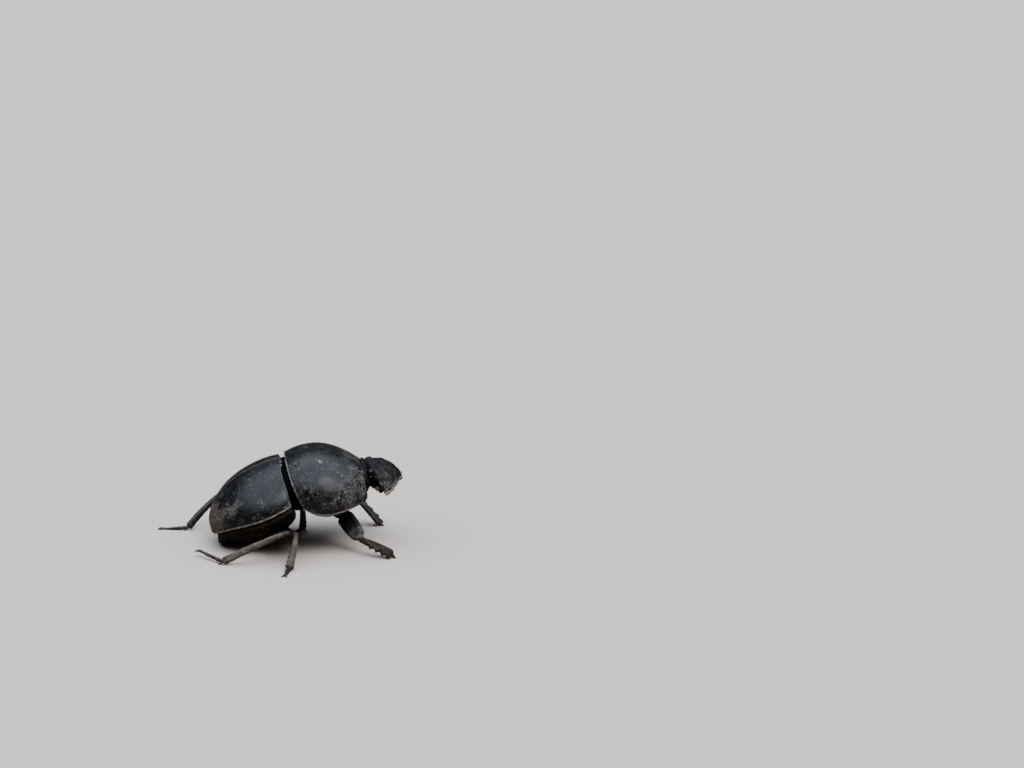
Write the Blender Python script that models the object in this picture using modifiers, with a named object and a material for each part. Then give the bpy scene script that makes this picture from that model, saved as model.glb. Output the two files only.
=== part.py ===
"""Flightless dung beetle, life size, standing on its six feet.

The head points along +X and the beetle's left side along +Y. All sizes below are in millimetres.
"""

import math

import bmesh
import bpy
from mathutils import Matrix, Vector

MM = 0.001
GAP = 0.3

# Where the stance frame's origin lies in the model's own frame. The feet sink into the floor by the
# last value, and are cut flat there.
STANCE_SHIFT = (3.607, 4.144, -0.3)

# Elytra: half an ellipsoid, tipped nose up, cut off in front of its middle.
HIND_CENTRE = (-6.02, 0.0, 8.11)
HIND_PITCH = 27.5
ELYTRA_REAR = 11.96
ELYTRA_FRONT = 12.8
ELYTRA_HALF_WIDTH = 12.4
ELYTRA_HEIGHT = 7.47
ELYTRA_CUT = 4.95
ELYTRA_CUT_BULGE = 0.85
ELYTRA_CORNER = 0.45
ELYTRA_CREST_REACH = 0.5
ELYTRA_MARGIN_BOW = 0.9
ELYTRON_THICKNESS = 0.7

# Hind body: what the elytra cover, and the belly that shows below them.
BELLY_DEPTH = 5.0
BELLY_DEEPEST = -2.5
BELLY_REAR_REACH = 10.0
BELLY_FRONT_REACH = 8.2
BELLY_SQUARENESS = 2.15
PYGIDIUM_START = -9.0
PYGIDIUM_LEAN = 0.38
BELLY_CLEARANCE = 0.9

# Pronotum: four control values from its rear edge to its front edge for each measure.
PRONOTUM_REAR = 0.25
PRONOTUM_FRONT = 12.01
PRONOTUM_REAR_LEAN = -3.16
PRONOTUM_FRONT_LEAN = -0.09
PRONOTUM_ARCH = 2.42
PRONOTUM_FRONT_BULGE = 0.6
PRONOTUM_REAR_BULGE = 0.3
PRONOTUM_BULGE_PEAK = 0.25 * 0.75**3
PRONOTUM_HALF_WIDTHS = (11.15, 13.43, 13.39, 8.37)
PRONOTUM_MARGIN_HEIGHTS = (9.60, 7.25, 9.41, 10.00)
PRONOTUM_CREST_HEIGHTS = (16.93, 19.92, 18.87, 15.35)
PRONOTUM_THICKNESS = 0.8
STERNUM_DEPTH = 2.7

# Waist: hoops from rear to front, each with its place, half width, crest height and depth.
WAIST_LEVEL = 9.9
WAIST_LEAN = 0.39
WAIST_HOOPS = (
    (-1.9, 9.6, 15.2, 1.6),
    (-1.4, 9.9, 15.35, 2.1),
    (-0.98, 10.4, 16.05, 2.2),
    (-0.68, 10.4, 16.1, 2.2),
    (-0.38, 9.9, 15.55, 2.2),
    (0.5, 9.6, 15.3, 2.0),
    (0.95, 8.8, 14.6, 1.6),
)

# Neck: ovals from rear to front, each with its place, height, half width and half height.
NECK_HOOPS = (
    (11.2, 12.05, 3.6, 1.5),
    (11.6, 12.05, 4.4, 1.9),
    (12.3, 12.05, 4.2, 1.8),
    (12.7, 12.05, 3.0, 1.2),
)

# Head: a shovel in its own frame, with p forward, q to the left and r up.
HEAD_AT = (12.35, 0.0, 16.2)
HEAD_PITCH = 16.0
HEAD_ROLL = -3.0
HEAD_LENGTH = 7.6
HEAD_HALF_WIDTH = 6.75
HEAD_WIDEST = 5.0
HEAD_ARCH = 3.4
HEAD_CROWN = 0.6
HEAD_DIP = 1.1
HEAD_THICKNESS = 2.6
NAPE_THICKNESS = 1.2
HEAD_RIM = 0.55
CLYPEUS_TOOTH = 0.75
CLYPEUS_NOTCH = 0.25
EYE_RADIUS = 0.72
EYE_AT = (1.5, 3.75, -1.25)

# Mouth and feelers, in the head's frame, for the left side.
MOUTH_AT = (3.95, 0.0, -4.1)
MOUTH_RADII = (2.1, 2.7, 1.05)
ANTENNA_STALK = ((4.6, 3.1, -4.35), (4.5, 4.2, -4.4), (3.9, 4.7, -4.1))
ANTENNA_CLUB = ((3.3, 4.95, -3.2), (3.35, 5.05, -3.6), (3.5, 5.15, -4.1))
PALP = ((5.95, 1.0, -4.15), (6.5, 1.6, -4.3), (6.95, 1.5, -4.0))

# Legs: joint centres in the stance frame. The side is +1 for the left legs.
LEGS = {
    "fore_right": {"hip": (7.65, -3.3, 6.8), "knee": (11.15, -10.2, 3.1), "ankle": (16.8, -13.2, 1.0)},
    "fore_left": {"hip": (7.65, 3.3, 6.8), "knee": (10.9, 10.9, 5.7), "ankle": (15.9, 8.4, 0.55)},
    "mid_right": {
        "hip": (-3.9, -4.9, 3.9),
        "knee": (-1.3, -12.9, 5.2),
        "ankle": (-3.0, -20.0, 0.9),
        "toe": (-3.9, -23.2, 0.4),
    },
    "mid_left": {
        "hip": (-3.9, 4.9, 3.9),
        "knee": (0.9, 11.6, 5.4),
        "ankle": (0.8, 5.4, 1.0),
        "toe": (-3.4, 1.6, 0.4),
    },
    "hind_right": {
        "hip": (-7.5, -4.6, 2.2),
        "knee": (-3.0, -16.0, 6.6),
        "ankle": (-15.1, -14.6, 0.9),
        "toe": (-19.4, -8.8, 1.5),
    },
    "hind_left": {
        "hip": (-7.5, 4.6, 2.2),
        "knee": (-10.9, 15.6, 7.3),
        "ankle": (-20.9, 8.6, 0.9),
        "toe": (-25.9, 9.6, 0.4),
    },
}
HIND_TIBIA_RISE = {"right": 0.5, "left": 2.0}
COXA_RADII = {"fore": (1.6, 1.5, 1.5), "mid": (1.7, 2.0, 1.1), "hind": (1.8, 2.2, 1.0)}
FEMUR_HALF_WIDTH = {"fore": 1.7, "mid": 1.25, "hind": 1.3}
FEMUR_HALF_DEPTH = {"fore": 1.0, "mid": 0.8, "hind": 0.8}
FEMUR_BOW = {"fore": 0.0, "mid": 0.2, "hind": 0.5}
KNEE_RADIUS = 0.62
TARSUS_RADIUS = 0.42
TARSUS_JOINTS = 5
CLAW_LENGTH = 1.1
CLAW_RADIUS = 0.27

BLACK = (0.018, 0.019, 0.022)
DUSTY = (0.060, 0.054, 0.048)
BROWN = (0.050, 0.030, 0.020)


def clear_scene():
    for thing in list(bpy.data.objects):
        bpy.data.objects.remove(thing, do_unlink=True)


def collection(name):
    made = bpy.data.collections.new(name)
    bpy.context.scene.collection.children.link(made)
    return made


def empty(name, location, rotation, parent=None):
    made = bpy.data.objects.new(name, None)
    made.location = [value * MM for value in location]
    made.rotation_euler = rotation
    made.parent = parent
    beetle.objects.link(made)
    return made


def finish(name, colour, roughness):
    """The node's own material, named after it."""
    material = bpy.data.materials.new(name + "_finish")
    material.use_nodes = True
    shader = material.node_tree.nodes["Principled BSDF"]
    shader.inputs["Base Color"].default_value = (*colour, 1.0)
    shader.inputs["Roughness"].default_value = roughness
    shader.inputs["Metallic"].default_value = 0.0
    return material


def add_object(name, bm, parent, colour=BLACK, roughness=0.4):
    """Turns a bmesh in millimetres into a smooth-shaded object in metres."""
    bmesh.ops.scale(bm, vec=(MM, MM, MM), verts=bm.verts)
    mesh = bpy.data.meshes.new(name)
    bm.to_mesh(mesh)
    bm.free()
    mesh.shade_smooth()
    mesh.set_sharp_from_angle(angle=math.radians(50))
    mesh.materials.append(finish(name, colour, roughness))
    made = bpy.data.objects.new(name, mesh)
    made.parent = parent
    beetle.objects.link(made)
    return made


def as_cutter(made):
    """Moves an object to the cutters, where it only shapes its neighbours."""
    beetle.objects.unlink(made)
    cutters.objects.link(made)
    made.hide_render = True
    made.display_type = "WIRE"
    return made


def boolean(target, tool, operation):
    modifier = target.modifiers.new(operation.lower() + "_" + tool.name, "BOOLEAN")
    modifier.operation = operation
    modifier.solver = "EXACT"
    modifier.object = tool


def thicken(made, thickness):
    modifier = made.modifiers.new("wall", "SOLIDIFY")
    modifier.thickness = thickness * MM
    modifier.offset = -1.0
    modifier.use_even_offset = True


def bernstein(controls, s):
    """The smooth run through four control values, at s from 0 to 1."""
    a, b, c, d = controls
    r = 1.0 - s
    return a * r**3 + 3 * b * s * r * r + 3 * c * s * s * r + d * s**3


def loft(rings, closed_ring=True, cap=True):
    """Faces between rings of equal length, with a fan over each end when capped."""
    bm = bmesh.new()
    rows = [[bm.verts.new(point) for point in ring] for ring in rings]
    count = len(rings[0])
    last = count if closed_ring else count - 1
    for row, following in zip(rows, rows[1:]):
        for i in range(last):
            j = (i + 1) % count
            bm.faces.new((row[i], row[j], following[j], following[i]))
    if cap:
        for row in (rows[0], rows[-1]):
            middle = sum((vert.co for vert in row), Vector()) / count
            centre = bm.verts.new(middle)
            for i in range(count):
                bm.faces.new((row[i], row[(i + 1) % count], centre))
    bmesh.ops.recalc_face_normals(bm, faces=bm.faces)
    return bm


def ellipsoid(name, centre, radii, parent, segments=10, rings=6, **look):
    bm = bmesh.new()
    bmesh.ops.create_uvsphere(bm, u_segments=segments, v_segments=rings, radius=1.0)
    bmesh.ops.scale(bm, vec=radii, verts=bm.verts)
    bmesh.ops.translate(bm, vec=centre, verts=bm.verts)
    return add_object(name, bm, parent, **look)


def power(value, exponent):
    return math.copysign(abs(value) ** exponent, value)



def hull_radius(x):
    """The ellipsoid's relative girth at x, from 1 at its middle to 0 at its ends."""
    reach = ELYTRA_FRONT if x > 0 else ELYTRA_REAR
    return math.sqrt(max(0.0, 1.0 - (x / reach) ** 2))


def margin_bow(x):
    t = (ELYTRA_CUT - x) / (ELYTRA_CUT + ELYTRA_REAR)
    return ELYTRA_MARGIN_BOW * math.sin(math.pi * min(1.0, max(0.0, t)) ** 2.4)


def front_edge(lift):
    """Where the elytra's front edge lies, for a point lifted from margin (0) to crest (1)."""
    x = ELYTRA_CUT
    for _ in range(8):
        x = ELYTRA_CUT + ELYTRA_CUT_BULGE * hull_radius(x) * lift
    return x - ELYTRA_CORNER * (1.0 - lift) ** 4 + ELYTRA_CREST_REACH * lift**12


def elytron_point(side, along, around):
    """A point of the wing case: along runs from front to tip, around from suture to margin."""
    angle = 0.5 * math.pi * (1.0 - around)
    lift = math.sin(angle)
    start = front_edge(lift)
    turn = math.acos(start / ELYTRA_FRONT)
    sweep = turn + (math.pi - turn) * along
    x = math.cos(sweep) * (ELYTRA_FRONT if math.cos(sweep) > 0 else ELYTRA_REAR)
    girth = math.sin(sweep) if along < 1.0 else 0.0
    inner = 0.5 * GAP
    y = inner + (ELYTRA_HALF_WIDTH * girth - inner) * math.cos(angle) if girth > 0 else inner
    z = ELYTRA_HEIGHT * girth * lift + margin_bow(x) * (1.0 - lift) ** 2
    return Vector((x, side * max(y, inner), z))


def elytron(name, side, parent, rows=15, columns=11):
    rings = []
    for i in range(rows):
        along = i / rows
        rings.append([elytron_point(side, along, j / columns) for j in range(columns + 1)])
    bm = loft(rings, closed_ring=False, cap=False)
    tip = bm.verts.new(elytron_point(side, 1.0, 0.0))
    bm.verts.ensure_lookup_table()
    edge = [bm.verts[(rows - 1) * (columns + 1) + j] for j in range(columns + 1)]
    for a, b in zip(edge, edge[1:]):
        bm.faces.new((a, b, tip))
    bmesh.ops.recalc_face_normals(bm, faces=bm.faces)
    bm.faces.ensure_lookup_table()
    if bm.faces[0].normal.z < 0:
        bmesh.ops.reverse_faces(bm, faces=bm.faces)
    made = add_object(name, bm, parent, roughness=0.38)
    thicken(made, ELYTRON_THICKNESS)
    return made


def belly_depth(x):
    reach = BELLY_REAR_REACH if x < BELLY_DEEPEST else BELLY_FRONT_REACH
    share = min(1.0, abs((x - BELLY_DEEPEST) / reach))
    depth = BELLY_DEPTH * (1.0 - share**2.6) ** (1 / 2.6)
    pitch = math.radians(HIND_PITCH)
    room = (HIND_CENTRE[2] + x * math.sin(pitch) - BELLY_CLEARANCE) / math.cos(pitch)
    return min(depth, room - GAP)


def hind_ring(x, lean, half=9):
    """A ring of the hind body: under the elytra above their margin, full width below it."""
    inset = ELYTRON_THICKNESS + GAP + 0.15
    girth = math.sqrt(max(0.0, 1.0 - (x / (ELYTRA_REAR - inset if x < 0 else ELYTRA_FRONT)) ** 2))
    width = (ELYTRA_HALF_WIDTH - inset) * girth
    height = (ELYTRA_HEIGHT - inset) * girth
    depth = belly_depth(x)
    base = margin_bow(x) - 0.15
    belly = (ELYTRA_HALF_WIDTH - 0.55) * hull_radius(x)
    points = []
    for i in range(half + 1):
        angle = math.pi * i / half
        lift = max(0.0, height * math.sin(angle) - 0.1)
        points.append((width * math.cos(angle), max(base, lift)))
    for i in range(half + 1):
        angle = math.pi + math.pi * i / half
        y = belly * power(math.cos(angle), 2 / BELLY_SQUARENESS)
        z = base - GAP - 0.1 + depth * power(math.sin(angle), 2 / BELLY_SQUARENESS)
        points.append((y, z))
    return [Vector((x + lean * z, y, z)) for y, z in points]


def hind_body(parent):
    """Metathorax and abdomen in one piece, and the pygidium behind it."""
    lean = ELYTRA_CUT_BULGE / ELYTRA_HEIGHT
    front = ELYTRA_CUT - 0.7
    stations = 12
    rings = []
    for i in range(stations + 1):
        share = i / stations
        x = front + (PYGIDIUM_START + 0.5 * GAP - front) * share
        rings.append(hind_ring(x, lean * (1.0 - share) ** 2))
    body = add_object("hind_body", loft(rings), parent, roughness=0.5)
    end = -(ELYTRA_REAR - ELYTRON_THICKNESS - GAP) + 0.2
    tail = []
    for share in (0.0, 0.35, 0.65, 0.88, 1.0):
        x = PYGIDIUM_START - 0.5 * GAP + (end - PYGIDIUM_START) * share
        tail.append(hind_ring(x, PYGIDIUM_LEAN * share))
    add_object("pygidium", loft(tail), parent, roughness=0.5)
    return body



def pronotum_point(s, angle, inset=0.0):
    """A point of the shield: s from rear to front, angle from the right margin to the left one."""
    width = bernstein(PRONOTUM_HALF_WIDTHS, s) - inset
    margin = bernstein(PRONOTUM_MARGIN_HEIGHTS, s)
    crest = bernstein(PRONOTUM_CREST_HEIGHTS, s) - inset
    rise = abs(math.sin(angle)) ** (2 / PRONOTUM_ARCH)
    across = power(math.cos(angle), 2 / PRONOTUM_ARCH)
    rear = PRONOTUM_REAR + PRONOTUM_REAR_LEAN * rise
    rear -= 4.0 * PRONOTUM_REAR_BULGE * rise * (1.0 - rise)
    front = PRONOTUM_FRONT + PRONOTUM_FRONT_LEAN * rise
    front += PRONOTUM_FRONT_BULGE * rise * (1.0 - rise) ** 3 / PRONOTUM_BULGE_PEAK
    return Vector((rear + (front - rear) * s, -width * across, margin + (crest - margin) * rise))


def pronotum(parent, rows=12, columns=18):
    rings = []
    for i in range(rows + 1):
        s = i / rows
        rings.append([pronotum_point(s, math.pi * j / columns) for j in range(columns + 1)])
    bm = loft(rings, closed_ring=False, cap=False)
    bm.faces.ensure_lookup_table()
    if bm.faces[len(bm.faces) // 2].normal.z < 0:
        bmesh.ops.reverse_faces(bm, faces=bm.faces)
    made = add_object("pronotum", bm, parent, roughness=0.38)
    thicken(made, PRONOTUM_THICKNESS)
    return made


def fore_ring(s, half=9):
    """A ring of the fore body: under the shield above its margin, a shallow keel below it."""
    inset = PRONOTUM_THICKNESS + GAP + 0.1 + 0.6 * s**3
    upper = [pronotum_point(s, math.pi * i / half, inset) for i in range(half + 1)]
    margin = bernstein(PRONOTUM_MARGIN_HEIGHTS, s)
    width = bernstein(PRONOTUM_HALF_WIDTHS, s) - inset
    ends = math.sin(math.pi * min(1.0, 0.1 + 0.9 * s)) ** 0.5
    lower = []
    for i in range(1, half):
        angle = math.pi * i / half
        y = width * math.cos(angle)
        z = margin - 0.3 - STERNUM_DEPTH * ends * (1.0 - abs(math.cos(angle)))
        lower.append(Vector((upper[0].x, y, z)))
    for point in upper:
        point.z = max(point.z, margin + 0.05)
    return upper + lower


def fore_body(parent):
    rings = [fore_ring(0.17 + 0.7 * i / 9) for i in range(10)]
    return add_object("fore_body", loft(rings), parent, roughness=0.5)


def oval(x, z, half_width, half_height, count=14):
    turns = [2 * math.pi * i / count for i in range(count)]
    return [Vector((x, half_width * math.cos(turn), z + half_height * math.sin(turn))) for turn in turns]


def waist_ring(x, half_width, crest, depth, half=10):
    """A leaning hoop: arched like the shield above the margins' height, shallow below it."""
    ring = []
    for i in range(2 * half):
        angle = math.pi * i / half
        across = half_width * power(math.cos(angle), 2 / PRONOTUM_ARCH if angle < math.pi else 1.0)
        lift = abs(math.sin(angle)) ** (2 / PRONOTUM_ARCH)
        up = (crest - WAIST_LEVEL) * lift if angle < math.pi else depth * math.sin(angle)
        ring.append(Vector((x - WAIST_LEAN * up, across, WAIST_LEVEL + up)))
    return ring


def mid_body(parent):
    """The waist that closes the dark gap between the shield and the elytra."""
    return add_object("mid_body", loft([waist_ring(*hoop) for hoop in WAIST_HOOPS]), parent, roughness=0.6)


def neck(parent):
    return add_object("neck", loft([oval(*hoop) for hoop in NECK_HOOPS]), parent, roughness=0.6)



def head_outline(turn):
    """The shovel's rim: turn 0 is the middle of the front, 180 degrees the middle of the nape."""
    across = math.sin(turn)
    forward = math.cos(turn)
    if forward < 0.0:
        back = abs(forward) ** 0.8
        cheek = (1.0 - 0.5 * back) * (1.0 - back**8) ** (1 / 3)
        return HEAD_WIDEST * (1.0 - back), HEAD_HALF_WIDTH * cheek * power(across, 1.0)
    front = HEAD_WIDEST + (HEAD_LENGTH - HEAD_WIDEST) * forward**1.2
    side = HEAD_HALF_WIDTH * power(across, 1.2)
    if forward < 0.5:
        return front, side
    tooth = math.exp(-((abs(side) - 1.25) / 0.55) ** 2)
    notch = math.exp(-((side / 0.6) ** 2))
    return front + CLYPEUS_TOOTH * tooth - CLYPEUS_NOTCH * notch, side


def head_top(p, q, reach):
    """The height of the shovel's upper side, arched across, domed and dipping at the front."""
    along = min(1.0, max(0.0, p / HEAD_LENGTH))
    arch = -HEAD_ARCH * abs(q / HEAD_HALF_WIDTH) ** 2.1
    dip = -HEAD_DIP * max(0.0, (p / HEAD_LENGTH - 0.35) / 0.65) ** 2.5
    crown = HEAD_CROWN * math.sin(math.pi * along**1.3) * max(0.0, 1.0 - (q / HEAD_HALF_WIDTH) ** 2)
    ridge = 0.16 * math.exp(-((p - 0.42 * HEAD_LENGTH - 0.12 * abs(q)) / 0.5) ** 2) * (1.0 - reach)
    return arch + dip + crown + ridge


def head(parent, spokes=32, rings=5):
    bm = bmesh.new()
    middle = 0.46 * HEAD_LENGTH
    top = [bm.verts.new((middle, 0.0, head_top(middle, 0.0, 0.0)))]
    low = [bm.verts.new((middle, 0.0, head_top(middle, 0.0, 0.0) - HEAD_THICKNESS))]
    upper, lower = [], []
    for k in range(1, rings + 1):
        reach = (k / rings) ** 0.8
        upper_ring, lower_ring = [], []
        for i in range(spokes):
            front, side = head_outline(2 * math.pi * (i + 0.5) / spokes)
            p = middle + (front - middle) * reach
            q = side * reach
            height = head_top(p, q, reach)
            depth = HEAD_RIM + (HEAD_THICKNESS - HEAD_RIM) * (1.0 - reach**2.2)
            depth += NAPE_THICKNESS * reach * max(0.0, 1.0 - p / middle)
            upper_ring.append(bm.verts.new((p, q, height)))
            lower_ring.append(bm.verts.new((p, q, height - depth)))
        upper.append(upper_ring)
        lower.append(lower_ring)
    for i in range(spokes):
        j = (i + 1) % spokes
        bm.faces.new((top[0], upper[0][i], upper[0][j]))
        bm.faces.new((low[0], lower[0][j], lower[0][i]))
        for k in range(rings - 1):
            bm.faces.new((upper[k][i], upper[k + 1][i], upper[k + 1][j], upper[k][j]))
            bm.faces.new((lower[k][i], lower[k][j], lower[k + 1][j], lower[k + 1][i]))
        bm.faces.new((upper[-1][i], lower[-1][i], lower[-1][j], upper[-1][j]))
    bmesh.ops.recalc_face_normals(bm, faces=bm.faces)
    return add_object("head", bm, parent, roughness=0.5)


def eyes(head_piece, parent):
    """Glossy beads set in sockets at the nape's corners."""
    for name, side in (("eye_right", -1), ("eye_left", 1)):
        p, q, r = EYE_AT
        centre = (p, side * q, r)
        ellipsoid(name, centre, [EYE_RADIUS] * 3, parent, segments=12, rings=8, roughness=0.12)
        socket = ellipsoid(name + "_socket", centre, [EYE_RADIUS + 0.25] * 3, parent, segments=12, rings=8)
        boolean(head_piece, as_cutter(socket), "DIFFERENCE")


def mirrored(points, side):
    return [Vector((p, side * q, r)) for p, q, r in points]


def mouth(parent):
    """Mouthparts, palps and folded feelers under the shovel."""
    level = Vector((0, 0, 1))
    small = {"parent": parent, "colour": BROWN}
    ellipsoid("mouthparts", MOUTH_AT, MOUTH_RADII, roughness=0.55, **small)
    for name, side in (("right", -1), ("left", 1)):
        limb("antenna_stalk_" + name, mirrored(ANTENNA_STALK, side), lambda t: 0.3, lambda t: 0.28,
             level, stations=6, sides=6, **small)
        limb("antenna_club_" + name, mirrored(ANTENNA_CLUB, side),
             lambda t: 0.2 + 0.22 * math.sin(math.pi * t), lambda t: 0.3,
             Vector((0, 1, 0.2)), stations=6, sides=8, **small)
        limb("palp_" + name, mirrored(PALP, side), lambda t: 0.27, lambda t: 0.27,
             level, stations=5, sides=6, **small)



def path_point(path, t):
    """A point on the quadratic curve whose middle control point is path[1]."""
    start, bend, end = path
    return start * (1 - t) ** 2 + bend * 2 * t * (1 - t) + end * t * t


def path_heading(path, t):
    start, bend, end = path
    return ((bend - start) * (1 - t) + (end - bend) * t).normalized()


def rounded(t, length, radius):
    """Closes a limb's ends with a round of about its own radius."""
    reach = min(0.45, radius / length)
    short = min(t, 1.0 - t)
    if short >= reach:
        return 1.0
    return math.sqrt(max(0.06, 1.0 - (1.0 - short / reach) ** 2))


def limb(name, path, half_width, half_depth, normal, parent, stations=9, sides=8, outer=None, **look):
    """A flattened tube along a curved path. The function outer adds to its width on one side only."""
    length = (path[2] - path[0]).length
    rings = []
    for i in range(stations + 1):
        t = i / stations
        heading = path_heading(path, t)
        across = heading.cross(normal).normalized()
        up = across.cross(heading).normalized()
        centre = path_point(path, t)
        girth = rounded(t, length, half_width(t))
        extra = outer(t) if outer else 0.0
        ring = []
        for k in range(sides):
            angle = 2 * math.pi * k / sides
            reach = half_width(t) * girth * math.cos(angle)
            if math.cos(angle) > 0:
                reach += extra * math.cos(angle) ** 2
            ring.append(centre + across * reach + up * half_depth(t) * girth * math.sin(angle))
        rings.append(ring)
    return add_object(name, loft(rings), parent, **look)


def straight(start, end, bow=Vector((0, 0, 0))):
    return [start, (start + end) / 2 + bow, end]


def exit_distance(heading, radii):
    return 1.0 / math.sqrt(sum((h / r) ** 2 for h, r in zip(heading, radii)))


def saw(t, centres, half, height):
    """Triangular teeth at the given places."""
    return height * max(0.0, max(1.0 - abs(t - place) / half for place in centres))


def femur(name, kind, hip, knee, seat, parent):
    """Widest at a third of its length. Returns a slightly larger copy that cuts the groove it lies in."""
    heading = (knee - hip).normalized()
    start = hip + heading * 0.75 * exit_distance(heading, COXA_RADII[kind])
    end = knee - heading * (KNEE_RADIUS + GAP)
    width = FEMUR_HALF_WIDTH[kind]
    depth = FEMUR_HALF_DEPTH[kind]

    def swell(t):
        return 0.6 + 0.4 * math.sin(math.pi * min(1.0, 0.25 + 0.75 * t)) ** 0.8

    normal = Vector((0, 0, 1)) if kind != "fore" else Vector((-0.5, -0.3 * math.copysign(1, hip.y), 0.6))
    path = straight(start, end, Vector((0, 0, -FEMUR_BOW[kind])))
    thigh = limb(name, path, lambda t: width * swell(t), lambda t: depth * swell(t), normal, parent)
    boolean(thigh, seat, "DIFFERENCE")
    groove = [start - heading * 0.85, path[1], end + heading]
    return limb(name + "_groove", groove, lambda t: width * swell(t) + GAP, lambda t: depth * swell(t) + GAP,
                normal, parent)


def hind_tibia(name, side, knee, ankle, parent):
    """Long, slightly bent outwards and widening to its end, with a finely toothed edge."""
    heading = (ankle - knee).normalized()
    bow = Vector((0, side * 0.6, HIND_TIBIA_RISE["right" if side < 0 else "left"]))
    places = [k / 16 for k in (5, 8, 11, 14)]
    path = straight(knee - heading * 0.5, ankle, bow)
    return limb(name, path, lambda t: 0.52 + 0.26 * t, lambda t: 0.45 + 0.08 * t,
                Vector((0, side * 1.0, 0.45)), parent, stations=16,
                outer=lambda t: saw(t, places, 1 / 16, 0.16), colour=DUSTY, roughness=0.7)


def mid_tibia(name, side, knee, ankle, parent):
    heading = (ankle - knee).normalized()
    path = straight(knee - heading * 0.5, ankle, Vector((0.3, side * 0.3, 0.2)))
    return limb(name, path, lambda t: 0.5 + 0.38 * t * t, lambda t: 0.45 + 0.12 * t,
                Vector((0.2, side * 0.9, 0.5)), parent, stations=12,
                outer=lambda t: saw(t, (6 / 12, 9 / 12), 1 / 12, 0.3), colour=DUSTY, roughness=0.7)


def fore_tibia(name, side, knee, ankle, parent):
    """The digging leg: flat, broad, with four outer teeth and no foot beyond it."""
    heading = (ankle - knee).normalized()
    path = straight(knee - heading * 0.5, ankle, Vector((0.2, side * 0.5, 0.3)))
    places = [k / 16 for k in (6, 9, 12, 15)]
    flat = Vector((-0.35, side * 0.15, 1.0)) if side < 0 else Vector((-0.6, 0.27, -0.71))
    return limb(name, path, lambda t: 0.7 + 0.45 * t, lambda t: 0.5,
                flat, parent, stations=16,
                outer=lambda t: saw(t, places, 1.2 / 16, 0.55 + 0.45 * t), colour=DUSTY, roughness=0.7)


def spine(name, start, end, radius, parent, bow=Vector((0, 0, 0))):
    """A small thorn that tapers to a blunt point."""
    return limb(name, straight(start, end, bow), lambda t: radius * (1.0 - 0.6 * t),
                lambda t: radius * (1.0 - 0.6 * t), Vector((0.1, 0.2, 1)), parent, stations=3, sides=5)


def join_spine(target, made):
    boolean(target, as_cutter(made), "UNION")


def tarsus(name, ankle, toe, parent):
    """Five bead-like joints and two hooked claws."""
    heading = (toe - ankle).normalized()
    start = ankle + heading * (0.55 + GAP)

    def beads(t):
        bead = abs(math.sin(math.pi * TARSUS_JOINTS * t))
        return TARSUS_RADIUS * (0.66 + 0.34 * bead**0.7) * (1.0 - 0.18 * t)

    path = straight(start, toe, Vector((0, 0, -0.12)))
    foot = limb(name, path, beads, lambda t: beads(t) * 0.92, Vector((0, 0, 1)), parent,
                stations=15, sides=6, colour=DUSTY, roughness=0.65)
    across = heading.cross(Vector((0, 0, 1))).normalized()
    for label, turn in (("a", -1), ("b", 1)):
        tip = toe + heading * CLAW_LENGTH * 0.8 + across * turn * 0.62 * CLAW_LENGTH
        tip.z = max(0.36, toe.z - 0.5)
        base = toe - heading * 0.25 + across * turn * 0.08
        bow = heading * 0.1 + across * turn * 0.16 + Vector((0, 0, 0.16))
        join_spine(foot, spine(name + "_claw_" + label, base, tip, CLAW_RADIUS, parent, bow))
    return foot


def leg(label, joints, carrier, parent):
    kind = label.split("_")[0]
    side = -1 if label.endswith("right") else 1
    hip, knee, ankle = (Vector(joints[key]) for key in ("hip", "knee", "ankle"))
    ellipsoid("coxa_" + label, hip, COXA_RADII[kind], parent, roughness=0.5)
    seat = ellipsoid("seat_" + label, hip, [radius + GAP for radius in COXA_RADII[kind]], parent)
    boolean(carrier, as_cutter(seat), "DIFFERENCE")
    groove = as_cutter(femur("femur_" + label, kind, hip, knee, seat, parent))
    boolean(carrier, groove, "DIFFERENCE")
    maker = {"fore": fore_tibia, "mid": mid_tibia, "hind": hind_tibia}[kind]
    shin = maker("tibia_" + label, side, knee, ankle, parent)
    heading = (ankle - knee).normalized()
    level = Vector((heading.x, heading.y, 0)).normalized()
    if kind == "fore":
        tip = ankle + level * 0.7
        tip.z = -STANCE_SHIFT[2]
        join_spine(shin, spine("spur_" + label, ankle - heading * 0.6, tip, 0.5, parent))
    else:
        toe = Vector(joints["toe"])
        aside = Vector((level.y, -level.x, 0)) * -side
        tip = ankle + level * 0.9 + aside * 0.7
        base = ankle - heading * 0.45 + aside * 0.1
        join_spine(shin, spine("spur_" + label, base, Vector((tip.x, tip.y, 0.2)), 0.32, parent))
        boolean(tarsus("tarsus_" + label, ankle, toe, parent), floor, "DIFFERENCE")
    boolean(shin, floor, "DIFFERENCE")


def floor_cutter():
    """A slab just under the floor's level, which gives each foot its flat."""
    bm = bmesh.new()
    bmesh.ops.create_cube(bm, size=1.0)
    bmesh.ops.scale(bm, vec=(90.0, 90.0, 4.0), verts=bm.verts)
    bmesh.ops.translate(bm, vec=(0.0, 0.0, -2.0), verts=bm.verts)
    return as_cutter(add_object("floor_slab", bm, None))


clear_scene()
beetle = collection("dung_beetle")
cutters = collection("cutters")
stance = empty("stance", STANCE_SHIFT, (0.0, 0.0, 0.0))
hind_frame = empty("hind_frame", HIND_CENTRE, (0.0, -math.radians(HIND_PITCH), 0.0), stance)
head_turn = Matrix.Rotation(math.radians(HEAD_PITCH), 3, "Y")
head_turn = head_turn @ Matrix.Rotation(math.radians(-HEAD_ROLL), 3, "X")
head_frame = empty("head_frame", HEAD_AT, head_turn.to_euler(), stance)
floor = floor_cutter()

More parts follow.
